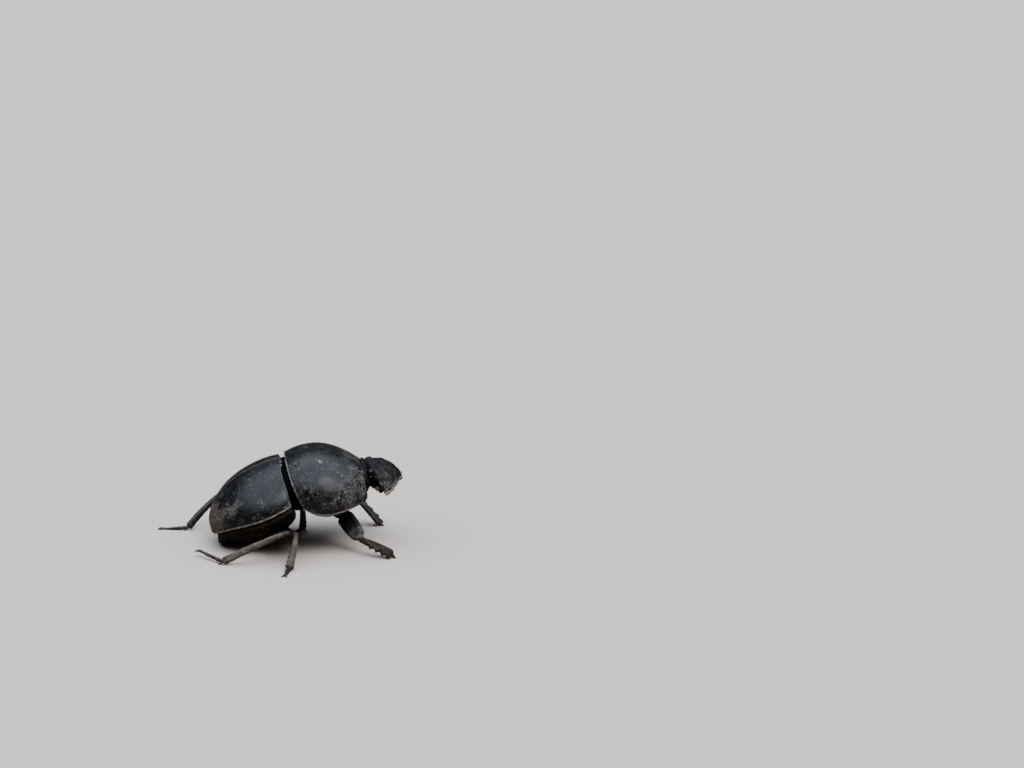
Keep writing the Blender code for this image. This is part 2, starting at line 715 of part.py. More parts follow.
elytron("elytron_right", -1, hind_frame)
elytron("elytron_left", 1, hind_frame)
hind = hind_body(hind_frame)
pronotum(stance)
fore = fore_body(stance)
mid_body(stance)
neck(stance)
head_piece = head(head_frame)
eyes(head_piece, head_frame)
mouth(head_frame)
carriers = {"fore": fore, "mid": hind, "hind": hind}
for leg_label, leg_joints in LEGS.items():
    leg(leg_label, leg_joints, carriers[leg_label.split("_")[0]], stance)
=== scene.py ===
import math

import bmesh
import bpy
import numpy as np
from mathutils import Matrix, Vector


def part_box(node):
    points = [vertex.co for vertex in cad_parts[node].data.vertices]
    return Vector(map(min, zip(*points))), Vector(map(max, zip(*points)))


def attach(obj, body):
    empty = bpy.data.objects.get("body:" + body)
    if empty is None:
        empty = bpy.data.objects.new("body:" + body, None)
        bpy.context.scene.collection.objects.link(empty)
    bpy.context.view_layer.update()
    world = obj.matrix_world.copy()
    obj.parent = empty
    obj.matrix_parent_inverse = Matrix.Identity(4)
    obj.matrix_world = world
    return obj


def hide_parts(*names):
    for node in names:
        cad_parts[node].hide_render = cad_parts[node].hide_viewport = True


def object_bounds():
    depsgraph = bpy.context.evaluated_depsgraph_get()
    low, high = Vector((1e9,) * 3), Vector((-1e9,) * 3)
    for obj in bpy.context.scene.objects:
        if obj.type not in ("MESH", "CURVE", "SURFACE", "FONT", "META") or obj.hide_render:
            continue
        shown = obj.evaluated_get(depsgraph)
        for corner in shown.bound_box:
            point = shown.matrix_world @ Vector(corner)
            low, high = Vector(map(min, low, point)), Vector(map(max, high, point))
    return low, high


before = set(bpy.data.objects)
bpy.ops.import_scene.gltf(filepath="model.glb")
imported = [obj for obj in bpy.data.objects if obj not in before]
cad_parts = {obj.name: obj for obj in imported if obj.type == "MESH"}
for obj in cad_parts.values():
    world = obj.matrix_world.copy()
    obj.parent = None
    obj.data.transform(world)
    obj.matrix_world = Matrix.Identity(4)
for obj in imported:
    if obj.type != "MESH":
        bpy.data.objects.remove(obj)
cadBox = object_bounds()
mm = 0.001

# Lengths are in millimetres and angles in degrees. In the stance frame +X is forward, +Y the beetle's
# left and +Z up, and its origin is on the floor under the waist.
shieldLow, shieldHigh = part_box("pronotum")
stance = {
    "crestBack": -2.91,  # the rearmost point of the shield's crest
    "sink": 0.3,  # how far the feet press down
    "sole": 0.012,  # no vertex goes lower than this over the floor
    "boxGap": 0.01,  # how far inside the solids' box every bristle stays
}
stanceOrigin = Vector((
    shieldLow.x / mm - stance["crestBack"],
    (shieldLow.y + shieldHigh.y) / 2 / mm,
    -stance["sink"],
))
stanceFrame = Matrix.Translation(stanceOrigin)


def unit(vectors):
    length = np.linalg.norm(vectors, axis=-1, keepdims=True)
    return vectors / np.maximum(length, 1e-12)


def signedPower(values, exponent):
    return np.sign(values) * np.abs(values) ** exponent


def bell(values, centre, width):
    return np.exp(-(((values - centre) / width) ** 2))


def band(values, height, centre, width):
    return height * bell(values, centre, width)


def ramp(values, low, high):
    t = np.clip((values - low) / (high - low), 0.0, 1.0)
    return t * t * (3 - 2 * t)


def crowded(count, ends=0.6):
    u = np.linspace(0.0, 1.0, count)  # steps get shorter towards both ends
    return u - ends * np.sin(2 * np.pi * u) / (2 * np.pi)


def hashed(cells, seed):
    a, b, c = (cells[..., k].astype(np.int64) for k in range(3))
    h = (a * 73856093) ^ (b * 19349663) ^ (c * 83492791) ^ (seed * 2654435761)
    h = (h ^ (h >> 13)) * 1274126177
    return ((h ^ (h >> 16)) & 0xFFFF) / 65535.0


def lumps(points, size, seed):
    q = points / size  # smooth noise from -1 to 1, with features of about this size
    cell = np.floor(q)
    f = q - cell
    f = f * f * (3 - 2 * f)
    total = 0.0
    for corner in np.ndindex(2, 2, 2):
        weight = 1.0
        for k in range(3):
            weight = weight * (f[..., k] if corner[k] else 1 - f[..., k])
        total = total + weight * hashed(cell + np.array(corner), seed)
    return 2.0 * total - 1.0


def pits(points, size, seed):
    q = points / size  # distance to the nearest of the scattered pit centres, in cells
    cell = np.floor(q)
    nearest = np.full(q.shape[:-1], 9.0)
    for step in np.ndindex(3, 3, 3):
        there = cell + np.array(step) - 1
        centre = there + np.stack([hashed(there, seed + k) for k in range(3)], -1)
        nearest = np.minimum(nearest, np.linalg.norm(q - centre, axis=-1))
    return nearest


def unevenness(points, layers, seedStep=0):
    # The sum of layers of smooth noise, each with its size, height and seed.
    return sum(height * lumps(points, size, seed + seedStep) for size, height, seed in layers)


def gridNormals(grid, wrapped=False, upAt=None):
    # Where a row and column are given in upAt, the normals are turned so that the one there points up.
    if wrapped:
        grid = np.concatenate([grid[:, -1:], grid, grid[:, :1]], 1)
    face = np.cross(grid[1:, 1:] - grid[:-1, :-1], grid[1:, :-1] - grid[:-1, 1:])
    normals = np.zeros_like(grid)
    for i in (slice(0, -1), slice(1, None)):
        for j in (slice(0, -1), slice(1, None)):
            normals[i, j] += face
    if wrapped:
        normals = normals[:, 1:-1]
    for row in (0, -1):
        if np.ptp(grid[row], axis=0).max() < 1e-6:
            normals[row] = normals[row].sum(0)  # a pole has one normal
    normals = unit(normals)
    if upAt is not None and normals[upAt][2] < 0:
        normals = -normals
    return normals


def gridFaces(rows, columns, wrapped=False, first=0):
    i = np.arange(rows - 1)[:, None] * columns
    j = np.arange(columns if wrapped else columns - 1)[None, :]
    k = (j + 1) % columns
    return (np.stack([i + j, i + k, i + columns + k, i + columns + j], -1) + first).reshape(-1, 4)


def edgeSteps(grid, axis):
    step = np.linalg.norm(np.diff(grid, axis=axis), axis=-1)  # length run from each end of the axis
    pad = [(0, 0), (0, 0)]
    pad[axis] = (1, 0)
    run = np.pad(np.cumsum(step, axis), pad)
    total = run.take([-1], axis)
    return run, total - run


def makePiece(name, points, faces, place, material, fields=None, outward=True):
    points = np.asarray(points, float).reshape(-1, 3)
    turn = np.array(place.to_3x3())
    points = points @ turn.T + np.array(place.translation)
    points[:, 2] = np.maximum(points[:, 2], stance["sole"])
    mesh = bpy.data.meshes.new(name)
    mesh.from_pydata((points * mm).tolist(), [], [tuple(face) for face in faces])
    for field, values in (fields or {}).items():
        values = np.asarray(values, np.float32)
        if field == "lie":
            values = values.reshape(-1, 3) @ turn.T.astype(np.float32)
        kind = "FLOAT" if values.size == len(points) else "FLOAT_VECTOR"
        layer = mesh.attributes.new(field, kind, "POINT")
        layer.data.foreach_set("value" if kind == "FLOAT" else "vector", values.ravel())
    shape = bmesh.new()
    shape.from_mesh(mesh)
    bmesh.ops.remove_doubles(shape, verts=shape.verts, dist=2e-7)
    bmesh.ops.dissolve_degenerate(shape, edges=shape.edges, dist=1e-7)
    if outward:
        bmesh.ops.recalc_face_normals(shape, faces=shape.faces)
    shape.to_mesh(mesh)
    shape.free()
    mesh.shade_smooth()
    mesh.materials.append(material)
    made = bpy.data.objects.new(name, mesh)
    bpy.context.scene.collection.objects.link(made)
    return made


def settle(piece, slotName, *nodes):
    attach(piece, "root")
    if nodes:
        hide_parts(*nodes)
    return piece


def coatFields(grid, share, lie=None):
    # What the bristles read from a skin: how densely they grow, which way they lie and where the root is.
    rows, columns = grid.shape[:2]
    if lie is None:
        lie = unit(np.gradient(grid, axis=0))
    v, u = np.meshgrid(np.linspace(0, 1, rows), np.arange(columns) / columns, indexing="ij")
    return {
        "seta": share * np.ones((rows, columns)),
        "lie": lie * np.ones((rows, columns, 1)),
        "skinUV": np.stack([u, v, 0 * u], -1),
    }


coat = {
    "patch": 0.0015,  # half a tuft's patch on the baking map
    "bristleRings": ((0.0, 1.0), (0.4, 0.8), (0.75, 0.5), (1.0, 0.12)),  # height and girth
    "bend": 0.22,
    "inputs": {
        "Template": "Object", "Density": "Float", "Length": "Float", "Shortest": "Float",
        "Lean": "Float", "Seed": "Int", "Finish": "Material",
    },
}


def templateObject(name, points, faces, reach, patch):
    mesh = bpy.data.meshes.new(name)
    mesh.from_pydata([tuple(point) for point in points], [], faces)
    for field, kind, values in (("reach", "FLOAT", reach), ("patch", "FLOAT_VECTOR", patch)):
        layer = mesh.attributes.new(field, kind, "POINT")
        layer.data.foreach_set("value" if kind == "FLOAT" else "vector", np.ravel(values).astype(np.float32))
    mesh.shade_smooth()
    return bpy.data.objects.new(name, mesh)


def bristleTemplate(name, girth, sides=5):
    # One stiff hair, a unit long, that stands on +Z and bends towards +X.
    points = []
    reach = []
    patch = []
    for height, width in coat["bristleRings"]:
        for k in range(sides):
            a = 2 * math.pi * k / sides
            side = girth * width
            points.append((coat["bend"] * height**2 + side * math.cos(a), side * math.sin(a), height))
            reach.append(height)
            patch.append((math.cos(a) * width, 2 * height - 1, 0.0))
    rings = len(coat["bristleRings"])
    faces = [
        (i * sides + k, i * sides + (k + 1) % sides, (i + 1) * sides + (k + 1) % sides, (i + 1) * sides + k)
        for i in range(rings - 1) for k in range(sides)
    ]
    faces.append(tuple(range(sides))[::-1])
    faces.append(tuple(range((rings - 1) * sides, rings * sides)))
    return templateObject(name, points, faces, reach, patch)


def crumbTemplate():
    shape = bmesh.new()
    bmesh.ops.create_icosphere(shape, subdivisions=1, radius=1.0)
    ball = np.array([vert.co[:] for vert in shape.verts])
    faces = [tuple(vert.index for vert in face.verts) for face in shape.faces]
    shape.free()
    points = ball * (1.0 + 0.35 * lumps(ball * 3.0, 1.0, 7))[:, None] * np.array((1.0, 0.85, 0.65))
    # Reach runs from 0 at the crumb's base to 1 at its top, so its finish paints it darker at the base
    # against the shell and paler on top: painted shade.
    return templateObject("crumb", points, faces, 0.5 + 0.5 * ball[:, 2], ball)


def coatTree():
    tree = bpy.data.node_groups.new("coat", "GeometryNodeTree")
    tree.interface.new_socket(name="Skin", in_out="INPUT", socket_type="NodeSocketGeometry")
    for label, kind in coat["inputs"].items():
        tree.interface.new_socket(name=label, in_out="INPUT", socket_type="NodeSocket" + kind)
    tree.interface.new_socket(name="Coat", in_out="OUTPUT", socket_type="NodeSocketGeometry")
    add, link = tree.nodes.new, tree.links.new
    given = add("NodeGroupInput").outputs

    def named(name, kind):
        node = add("GeometryNodeInputNamedAttribute")
        node.data_type = kind
        node.inputs["Name"].default_value = name
        return node.outputs["Attribute"]

    def vectorMath(operation, a, b):
        node = add("ShaderNodeVectorMath")
        node.operation = operation
        link(a, node.inputs[0])
        link(b, node.inputs["Scale" if operation == "SCALE" else 1])
        return node.outputs[0]

    def aligned(axis, vector, rotation=None):
        node = add("FunctionNodeAlignRotationToVector")
        node.axis = axis
        node.pivot_axis = "AUTO" if axis == "Z" else "Z"
        link(vector, node.inputs["Vector"])
        if rotation is not None:
            link(rotation, node.inputs["Rotation"])
        return node.outputs["Rotation"]

    roots = add("GeometryNodeDistributePointsOnFaces")
    link(given["Skin"], roots.inputs["Mesh"])
    link(mathNode(tree, "MULTIPLY", given["Density"], named("seta", "FLOAT")), roots.inputs["Density"])
    link(given["Seed"], roots.inputs["Seed"])
    lie = named("lie", "FLOAT_VECTOR")
    stand = vectorMath("ADD", roots.outputs["Normal"], vectorMath("SCALE", lie, given["Lean"]))
    turn = aligned("X", lie, aligned("Z", stand))
    template = add("GeometryNodeObjectInfo")
    link(given["Template"], template.inputs["Object"])
    size = add("FunctionNodeRandomValue")
    link(given["Shortest"], size.inputs[2])
    size.inputs[3].default_value = 1.0
    link(given["Seed"], size.inputs["Seed"])
    grown = add("GeometryNodeInstanceOnPoints")
    link(roots.outputs["Points"], grown.inputs["Points"])
    link(template.outputs["Geometry"], grown.inputs["Instance"])
    link(turn, grown.inputs["Rotation"])
    link(mathNode(tree, "MULTIPLY", size.outputs[1], given["Length"]), grown.inputs["Scale"])
    real = add("GeometryNodeRealizeInstances")
    link(grown.outputs["Instances"], real.inputs["Geometry"])
    finish = add("GeometryNodeSetMaterial")
    link(real.outputs["Geometry"], finish.inputs["Geometry"])
    link(given["Finish"], finish.inputs["Material"])
    link(finish.outputs["Geometry"], add("NodeGroupOutput").inputs["Coat"])
    return tree


def keepInBox(mesh):
    gap = stance["boxGap"] * mm
    points = np.empty(len(mesh.vertices) * 3)
    mesh.vertices.foreach_get("co", points)
    points = np.clip(points.reshape(-1, 3), np.array(cadBox[0]) + gap, np.array(cadBox[1]) - gap)
    mesh.vertices.foreach_set("co", points.ravel())


def flatField(mesh, name):
    values = np.empty(len(mesh.vertices) * 3, np.float32)
    mesh.attributes[name].data.foreach_get("vector", values)
    return values.reshape(-1, 3)[:, :2]


def layBakeMap(mesh):
    # Each tuft has a small patch of the map, at its root's place on the skin.
    edge = 2 * coat["patch"]
    place = edge + (1 - 2 * edge) * flatField(mesh, "skinUV") + coat["patch"] * flatField(mesh, "patch")
    corners = np.empty(len(mesh.loops), np.int32)
    mesh.loops.foreach_get("vertex_index", corners)
    bake = mesh.uv_layers.new(name="OFBake")
    bake.data.foreach_set("uv", place[corners].ravel().astype(np.float32))


def growCoat(name, skin, slotName, template, perSquareMm, length, shortest, lean, seed):
    # Scatters a template over a skin, perSquareMm times its field seta. Shortest is a share of the length.
    piece = bpy.data.objects.new(name, skin.data)
    bpy.context.scene.collection.objects.link(piece)
    modifier = piece.modifiers.new("coat", "NODES")
    modifier.node_group = coatGroup
    values = {
        "Template": template,
        "Density": perSquareMm / mm**2,
        "Length": length * mm,
        "Shortest": shortest,
        "Lean": lean,
        "Seed": seed,
        "Finish": soilCrumb if template is crumb else setaBrown,
    }
    for item in coatGroup.interface.items_tree:
        if item.name in values:
            modifier[item.identifier] = values[item.name]
    graph = bpy.context.evaluated_depsgraph_get()
    mesh = bpy.data.meshes.new_from_object(piece.evaluated_get(graph), depsgraph=graph)
    mesh.name = name
    piece.modifiers.clear()
    piece.data = mesh
    keepInBox(mesh)
    layBakeMap(mesh)
    for field in ("skinUV", "patch", "lie", "seta"):
        if field in mesh.attributes:
            mesh.attributes.remove(mesh.attributes[field])
    mesh.update()
    settle(piece, slotName)


print("stage: finishes")
soilTones = {
    "pale": (0.50, 0.44, 0.37, 1.0),
    "dust": (0.34, 0.32, 0.27, 1.0),
    "warm": (0.50, 0.42, 0.34, 1.0),
    "earth": (0.20, 0.145, 0.10, 1.0),
}
dustLook = {
    "patches": 520.0,  # scales are in features to the metre
    # scale, detail, threshold with no cover and with full cover, and weight
    "blotches": ((2100.0, 7.0, 0.70, 0.555, 0.7), (4600.0, 4.0, 0.69, 0.56, 0.75)),
    "blotchEdge": 0.035,
    "smears": 700.0,
    "smearTwist": 1.4,
    "smearWidth": 0.017,
    "smearWeight": 0.7,
    "warp": 5200.0,
    "warpReach": 0.0003,
    # scale, the share of cells with a grain in them, the smallest grain and how much larger they get
    "grains": ((1800.0, 0.5, 0.12, 0.24), (3300.0, 0.6, 0.12, 0.26), (6500.0, 0.5, 0.12, 0.26)),
    "film": 1500.0,
}
hornLook = {
    "granules": 7000.0,
    "pricks": 2400.0,
    "scratches": (260.0, 5200.0, 900.0),
    "scratchTurns": (0.35, 1.2, 2.3),
    "scratchDepth": 0.35,
    "mottle": 420.0,
    "rimBreaks": 1300.0,
    "soilHues": 620.0,
    "glossSpread": 0.12,
    "dustRoughness": 0.5,
    "dustHeight": 0.9,
    "bump": (0.55, 0.00005),  # strength and distance
}


def newGroup(name, inputs, outputs):
    group = bpy.data.node_groups.new(name, "ShaderNodeTree")
    for label, value in inputs.items():
        socket = group.interface.new_socket(name=label, in_out="INPUT", socket_type="NodeSocketFloat")
        socket.default_value = value
    for label in outputs:
        group.interface.new_socket(name=label, in_out="OUTPUT", socket_type="NodeSocketFloat")
    return group, group.nodes.new("NodeGroupInput"), group.nodes.new("NodeGroupOutput")


def newMaterial(name):
    material = bpy.data.materials.new(name)
    material.use_nodes = True
    return material, material.node_tree, material.node_tree.nodes["Principled BSDF"]


def setBump(tree, shader, height, strength, distance, invert=False):
    bump = tree.nodes.new("ShaderNodeBump")
    bump.inputs["Strength"].default_value = strength
    bump.inputs["Distance"].default_value = distance
    bump.invert = invert
    tree.links.new(height, bump.inputs["Height"])
    tree.links.new(bump.outputs["Normal"], shader.inputs["Normal"])


def cellNode(tree, place, scale, randomness=1.0):
    node = tree.nodes.new("ShaderNodeTexVoronoi")
    node.inputs["Scale"].default_value = scale
    node.inputs["Randomness"].default_value = randomness
    tree.links.new(place, node.inputs["Vector"])
    return node


def mathNode(tree, operation, a, b=None, clamp=False):
    node = tree.nodes.new("ShaderNodeMath")
    node.operation = operation
    node.use_clamp = clamp
    for socket, value in zip(node.inputs, (a, b)):
        if value is None:
            continue
        if isinstance(value, (int, float)):
            socket.default_value = value
        else:
            tree.links.new(value, socket)
    return node.outputs[0]


def rampNode(tree, value, low, high, bottom=0.0, top=1.0):
    node = tree.nodes.new("ShaderNodeMapRange")
    node.interpolation_type = "SMOOTHSTEP"
    tree.links.new(value, node.inputs["Value"])
    for label, number in (("From Min", low), ("From Max", high), ("To Min", bottom), ("To Max", top)):
        if isinstance(number, (int, float)):
            node.inputs[label].default_value = number
        else:
            tree.links.new(number, node.inputs[label])
    return node.outputs["Result"]


def noiseNode(tree, place, scale, detail=4.0, roughness=0.55):
    node = tree.nodes.new("ShaderNodeTexNoise")
    node.inputs["Scale"].default_value = scale
    node.inputs["Detail"].default_value = detail
    node.inputs["Roughness"].default_value = roughness
    tree.links.new(place, node.inputs["Vector"])
    return node


def objectPlace(tree):
    return tree.nodes.new("ShaderNodeTexCoord").outputs["Object"]


def fieldNode(tree, name):
    node = tree.nodes.new("ShaderNodeAttribute")
    node.attribute_name = name
    return node.outputs["Fac"]


def mixColour(tree, amount, low, high):
    node = tree.nodes.new("ShaderNodeMix")
    node.data_type = "RGBA"
    for label, value in ((0, amount), (6, low), (7, high)):
        if isinstance(value, (tuple, float)):
            node.inputs[label].default_value = value
        else:
            tree.links.new(value, node.inputs[label])
    return node.outputs[2]


def dustSpecks():
    # Pale soil where the cover allows it: broken blotches of two sizes, scratchy smears where the cover is
    # thick, and single grains of three sizes. The film is a thin haze of the same soil.
    group, given, out = newGroup("dustSpecks", {"Cover": 0.2}, ("Mask", "Film"))
    cover = given.outputs["Cover"]
    place = objectPlace(group)
    patches = noiseNode(group, place, dustLook["patches"], 4.0, 0.6).outputs["Fac"]
    allowed = mathNode(group, "MULTIPLY", cover, rampNode(group, patches, 0.36, 0.66, 0.5, 1.4), True)
    masks = []
    for scale, detail, sparse, dense, weight in dustLook["blotches"]:
        blotch = noiseNode(group, place, scale, detail, 0.74).outputs["Fac"]
        level = rampNode(group, allowed, 0.0, 1.0, sparse, dense)
        over = rampNode(group, blotch, level, mathNode(group, "ADD", level, dustLook["blotchEdge"]))
        masks.append(mathNode(group, "MULTIPLY", over, weight))
    smears = noiseNode(group, place, dustLook["smears"], 7.0, 0.72)
    smears.inputs["Distortion"].default_value = dustLook["smearTwist"]
    off = mathNode(group, "ABSOLUTE", mathNode(group, "SUBTRACT", smears.outputs["Fac"], 0.5))
    thick = rampNode(group, allowed, 0.35, 0.9, 0.0, dustLook["smearWidth"])
    streak = rampNode(group, off, 0.0, thick, 1.0, 0.0)
    masks.append(mathNode(group, "MULTIPLY", streak, dustLook["smearWeight"]))
    shift = group.nodes.new("ShaderNodeVectorMath")
    shift.operation = "MULTIPLY_ADD"
    shift.inputs[1].default_value = (dustLook["warpReach"],) * 3
    group.links.new(noiseNode(group, place, dustLook["warp"], 4.0).outputs["Color"], shift.inputs[0])
    group.links.new(place, shift.inputs[2])
    for scale, share, smallest, spread in dustLook["grains"]:
        cells = cellNode(group, shift.outputs[0], scale)
        pick = group.nodes.new("ShaderNodeSeparateColor")
        group.links.new(cells.outputs["Color"], pick.inputs[0])
        chosen = mathNode(group, "LESS_THAN", pick.outputs[0], mathNode(group, "MULTIPLY", allowed, share))
        reach = mathNode(group, "ADD", mathNode(group, "MULTIPLY", pick.outputs[1], spread), smallest)
        core = mathNode(group, "MULTIPLY", reach, 0.6)
        grain = rampNode(group, cells.outputs["Distance"], core, reach, 1.0, 0.0)
        grain = mathNode(group, "MULTIPLY", grain, rampNode(group, pick.outputs[2], 0.0, 1.0, 0.4, 1.0))
        masks.append(mathNode(group, "MULTIPLY", grain, chosen))
    mask = masks[0]
    for extra in masks[1:]:
        mask = mathNode(group, "MAXIMUM", mask, extra)
    group.links.new(mask, out.inputs["Mask"])
    film = mathNode(group, "MULTIPLY", rampNode(group, patches, 0.40, 0.75), cover)
    haze = noiseNode(group, place, dustLook["film"], 5.0, 0.7).outputs["Fac"]
    film = mathNode(group, "MULTIPLY", film, rampNode(group, haze, 0.35, 0.7), clamp=True)
    group.links.new(film, out.inputs["Film"])
    return group


def cuticleGrain():
    # The horn's own surface: fine granules, sparse pricks and hair-fine scratches.
    heights = {"Grain": 0.4, "Pricks": 0.4, "Scratches": 0.3}
    group, given, out = newGroup("cuticleGrain", heights, ("Height", "Mottle"))
    place = objectPlace(group)
    fine = noiseNode(group, place, hornLook["granules"], 3.0).outputs["Fac"]
    height = mathNode(group, "MULTIPLY", fine, given.outputs["Grain"])
    cells = cellNode(group, place, hornLook["pricks"])
    prick = rampNode(group, cells.outputs["Distance"], 0.08, 0.3, -0.8, 0.0)
    height = mathNode(group, "ADD", height, mathNode(group, "MULTIPLY", prick, given.outputs["Pricks"]))
    for turn in hornLook["scratchTurns"]:
        lie = group.nodes.new("ShaderNodeMapping")
        lie.inputs["Rotation"].default_value = (turn, turn * 0.7, turn * 1.6)
        lie.inputs["Scale"].default_value = hornLook["scratches"]
        group.links.new(place, lie.inputs["Vector"])
        streak = noiseNode(group, lie.outputs[0], 1.0, 2.0).outputs["Fac"]
        line = rampNode(group, streak, 0.66, 0.72, 0.0, -0.5)
        height = mathNode(group, "ADD", height, mathNode(group, "MULTIPLY", line, given.outputs["Scratches"]))
    group.links.new(height, out.inputs["Height"])
    mottle = noiseNode(group, place, hornLook["mottle"], 5.0, 0.6)
    group.links.new(mottle.outputs["Fac"], out.inputs["Mottle"])
    return group


specksGroup = dustSpecks()
grainGroup = cuticleGrain()


def cuticle(
    name, base, worn, rough, cover, pricks, grain=0.4, dust=soilTones["dust"], film=0.5, rim=0.8, specular=0.5
):
    # Horn with soil on it. The field rim is 1 along a plate's edge, and dusty is 1 where soil gathers.
    material, tree, shader = newMaterial(name)
    place = objectPlace(tree)
    specks = tree.nodes.new("ShaderNodeGroup")
    specks.node_tree = specksGroup
    tree.links.new(mathNode(tree, "ADD", fieldNode(tree, "dusty"), cover), specks.inputs["Cover"])
    texture = tree.nodes.new("ShaderNodeGroup")
    texture.node_tree = grainGroup
    for label, value in (("Grain", grain), ("Pricks", pricks), ("Scratches", hornLook["scratchDepth"])):
        texture.inputs[label].default_value = value
    mottle = texture.outputs["Mottle"]
    broken = noiseNode(tree, place, hornLook["rimBreaks"], 4.0, 0.65).outputs["Fac"]
    edge = mathNode(tree, "MULTIPLY", fieldNode(tree, "rim"), rim)
    edge = mathNode(tree, "MULTIPLY", edge, rampNode(tree, broken, 0.36, 0.62, 0.15, 1.0))
    haze = mathNode(tree, "MULTIPLY", specks.outputs["Film"], film)
    soiled = mathNode(tree, "MAXIMUM", specks.outputs["Mask"], haze)
    soiled = mathNode(tree, "MAXIMUM", soiled, edge, clamp=True)
    hue = noiseNode(tree, place, hornLook["soilHues"], 5.0, 0.7).outputs["Fac"]
    soil = mixColour(tree, rampNode(tree, hue, 0.36, 0.52), soilTones["earth"], dust)
    soil = mixColour(tree, edge, soil, soilTones["pale"])
    plain = mixColour(tree, mottle, (*base, 1.0), (*worn, 1.0))
    tree.links.new(mixColour(tree, soiled, plain, soil), shader.inputs["Base Color"])
    gloss = rampNode(tree, mottle, 0.3, 0.7, rough, rough + hornLook["glossSpread"])
    duller = mathNode(tree, "MULTIPLY", soiled, hornLook["dustRoughness"])
    tree.links.new(mathNode(tree, "ADD", gloss, duller, clamp=True), shader.inputs["Roughness"])
    raised = mathNode(tree, "MULTIPLY", soiled, hornLook["dustHeight"])
    setBump(tree, shader, mathNode(tree, "ADD", texture.outputs["Height"], raised), *hornLook["bump"])
    shader.inputs["Specular IOR Level"].default_value = specular
    return material


# base colour, worn colour, roughness, dust cover, pricks and grain, then what differs from plain horn
shellBlack = cuticle(
    "shellBlack", (0.0025, 0.0029, 0.004), (0.006, 0.0067, 0.0088), 0.24, 0.14, 0.3, film=0.14, rim=1.2
)
headBlack = cuticle(
    "headBlack", (0.003, 0.003, 0.0035), (0.009, 0.009, 0.0095), 0.54, 0.14, 0.7, 0.8, film=1.0, rim=1.3,
    specular=0.17
)
bellyBrown = cuticle(
    "bellyBrown", (0.002, 0.0016, 0.0013), (0.010, 0.006, 0.004), 0.45, 0.02, 0.5, 0.6, soilTones["earth"],
    film=0.2, rim=0.4, specular=0.22
)
thighBlack = cuticle(
    "thighBlack", (0.007, 0.007, 0.008), (0.020, 0.018, 0.017), 0.36, 0.06, 0.4, 0.6, film=0.9
)
# Dusty horn for the near mid and hind shins, made paler overall: partly their soil, partly painted sunlight.
shinDustAndPaintedLight = cuticle(
    "shinDustAndPaintedLight", (0.040, 0.027, 0.019), (0.145, 0.103, 0.075), 0.5, 0.45, 0.6, 0.9, soilTones["warm"],
    film=0.4, specular=0.35
)
shinBrown = cuticle(
    "shinBrown", (0.009, 0.0055, 0.004), (0.042, 0.025, 0.016), 0.42, 0.2, 0.6, 0.9, film=0.1, specular=0.18
)
footDark = cuticle("footDark", (0.014, 0.010, 0.008), (0.036, 0.027, 0.021), 0.48, 0.3, 0.4, 0.6)
clawHorn = cuticle("clawHorn", (0.010, 0.007, 0.006), (0.030, 0.016, 0.010), 0.25, 0.1, 0.2, 0.2)
feelerBrown = cuticle("feelerBrown", (0.014, 0.008, 0.006), (0.036, 0.020, 0.013), 0.42, 0.05, 0.3)
clubPale = cuticle("clubPale", (0.13, 0.075, 0.058), (0.27, 0.17, 0.135), 0.72, 0.15, 0.3, specular=0.3)
# The waist's joint skin is dark, and is made nearly black and dull besides, as painted shade in the slot
# between the shield and the wing cases.
jointSkinAndShade = cuticle(
    "jointSkinAndShade", (0.001, 0.001, 0.001), (0.004, 0.003, 0.003), 0.7, 0.0, 0.2, 1.0, film=0.1, specular=0.05
)


def bristleFinish(name, root, tip, rough):
    material, tree, shader = newMaterial(name)
    place = objectPlace(tree)
    shade = noiseNode(tree, place, 2600.0, 3.0).outputs["Fac"]
    stray = mathNode(tree, "SUBTRACT", shade, 0.5)
    along = mathNode(tree, "ADD", fieldNode(tree, "reach"), stray, clamp=True)
    tree.links.new(mixColour(tree, along, (*root, 1.0), (*tip, 1.0)), shader.inputs["Base Color"])
    tree.links.new(rampNode(tree, shade, 0.3, 0.7, rough, rough + 0.2), shader.inputs["Roughness"])
    setBump(tree, shader, noiseNode(tree, place, 12000.0, 3.0).outputs["Fac"], 0.4, 0.00002)
    shader.inputs["Specular IOR Level"].default_value = 0.35
    return material


def eyeFinish():
    # Nearly black, with the finest of facets.
    material, tree, shader = newMaterial("eyeGloss")
    place = objectPlace(tree)
    facets = cellNode(tree, place, 24000.0, 0.25)
    setBump(tree, shader, facets.outputs["Distance"], 0.15, 0.00001, invert=True)
    cloud = noiseNode(tree, place, 1500.0, 3.0).outputs["Fac"]
    tone = mixColour(tree, cloud, (0.004, 0.003, 0.003, 1), (0.020, 0.012, 0.008, 1))
    tree.links.new(tone, shader.inputs["Base Color"])
    tree.links.new(rampNode(tree, cloud, 0.3, 0.7, 0.10, 0.2), shader.inputs["Roughness"])
    shader.inputs["Specular IOR Level"].default_value = 0.35
    return material


setaBrown = bristleFinish("setaBrown", (0.010, 0.006, 0.004), (0.075, 0.036, 0.018), 0.38)
soilCrumb = bristleFinish("soilCrumb", (0.11, 0.075, 0.05), (0.30, 0.245, 0.185), 0.8)
eyeGloss = eyeFinish()
coatGroup = coatTree()
hair = bristleTemplate("hair", 0.035)
spine = bristleTemplate("spine", 0.075)
crumb = crumbTemplate()


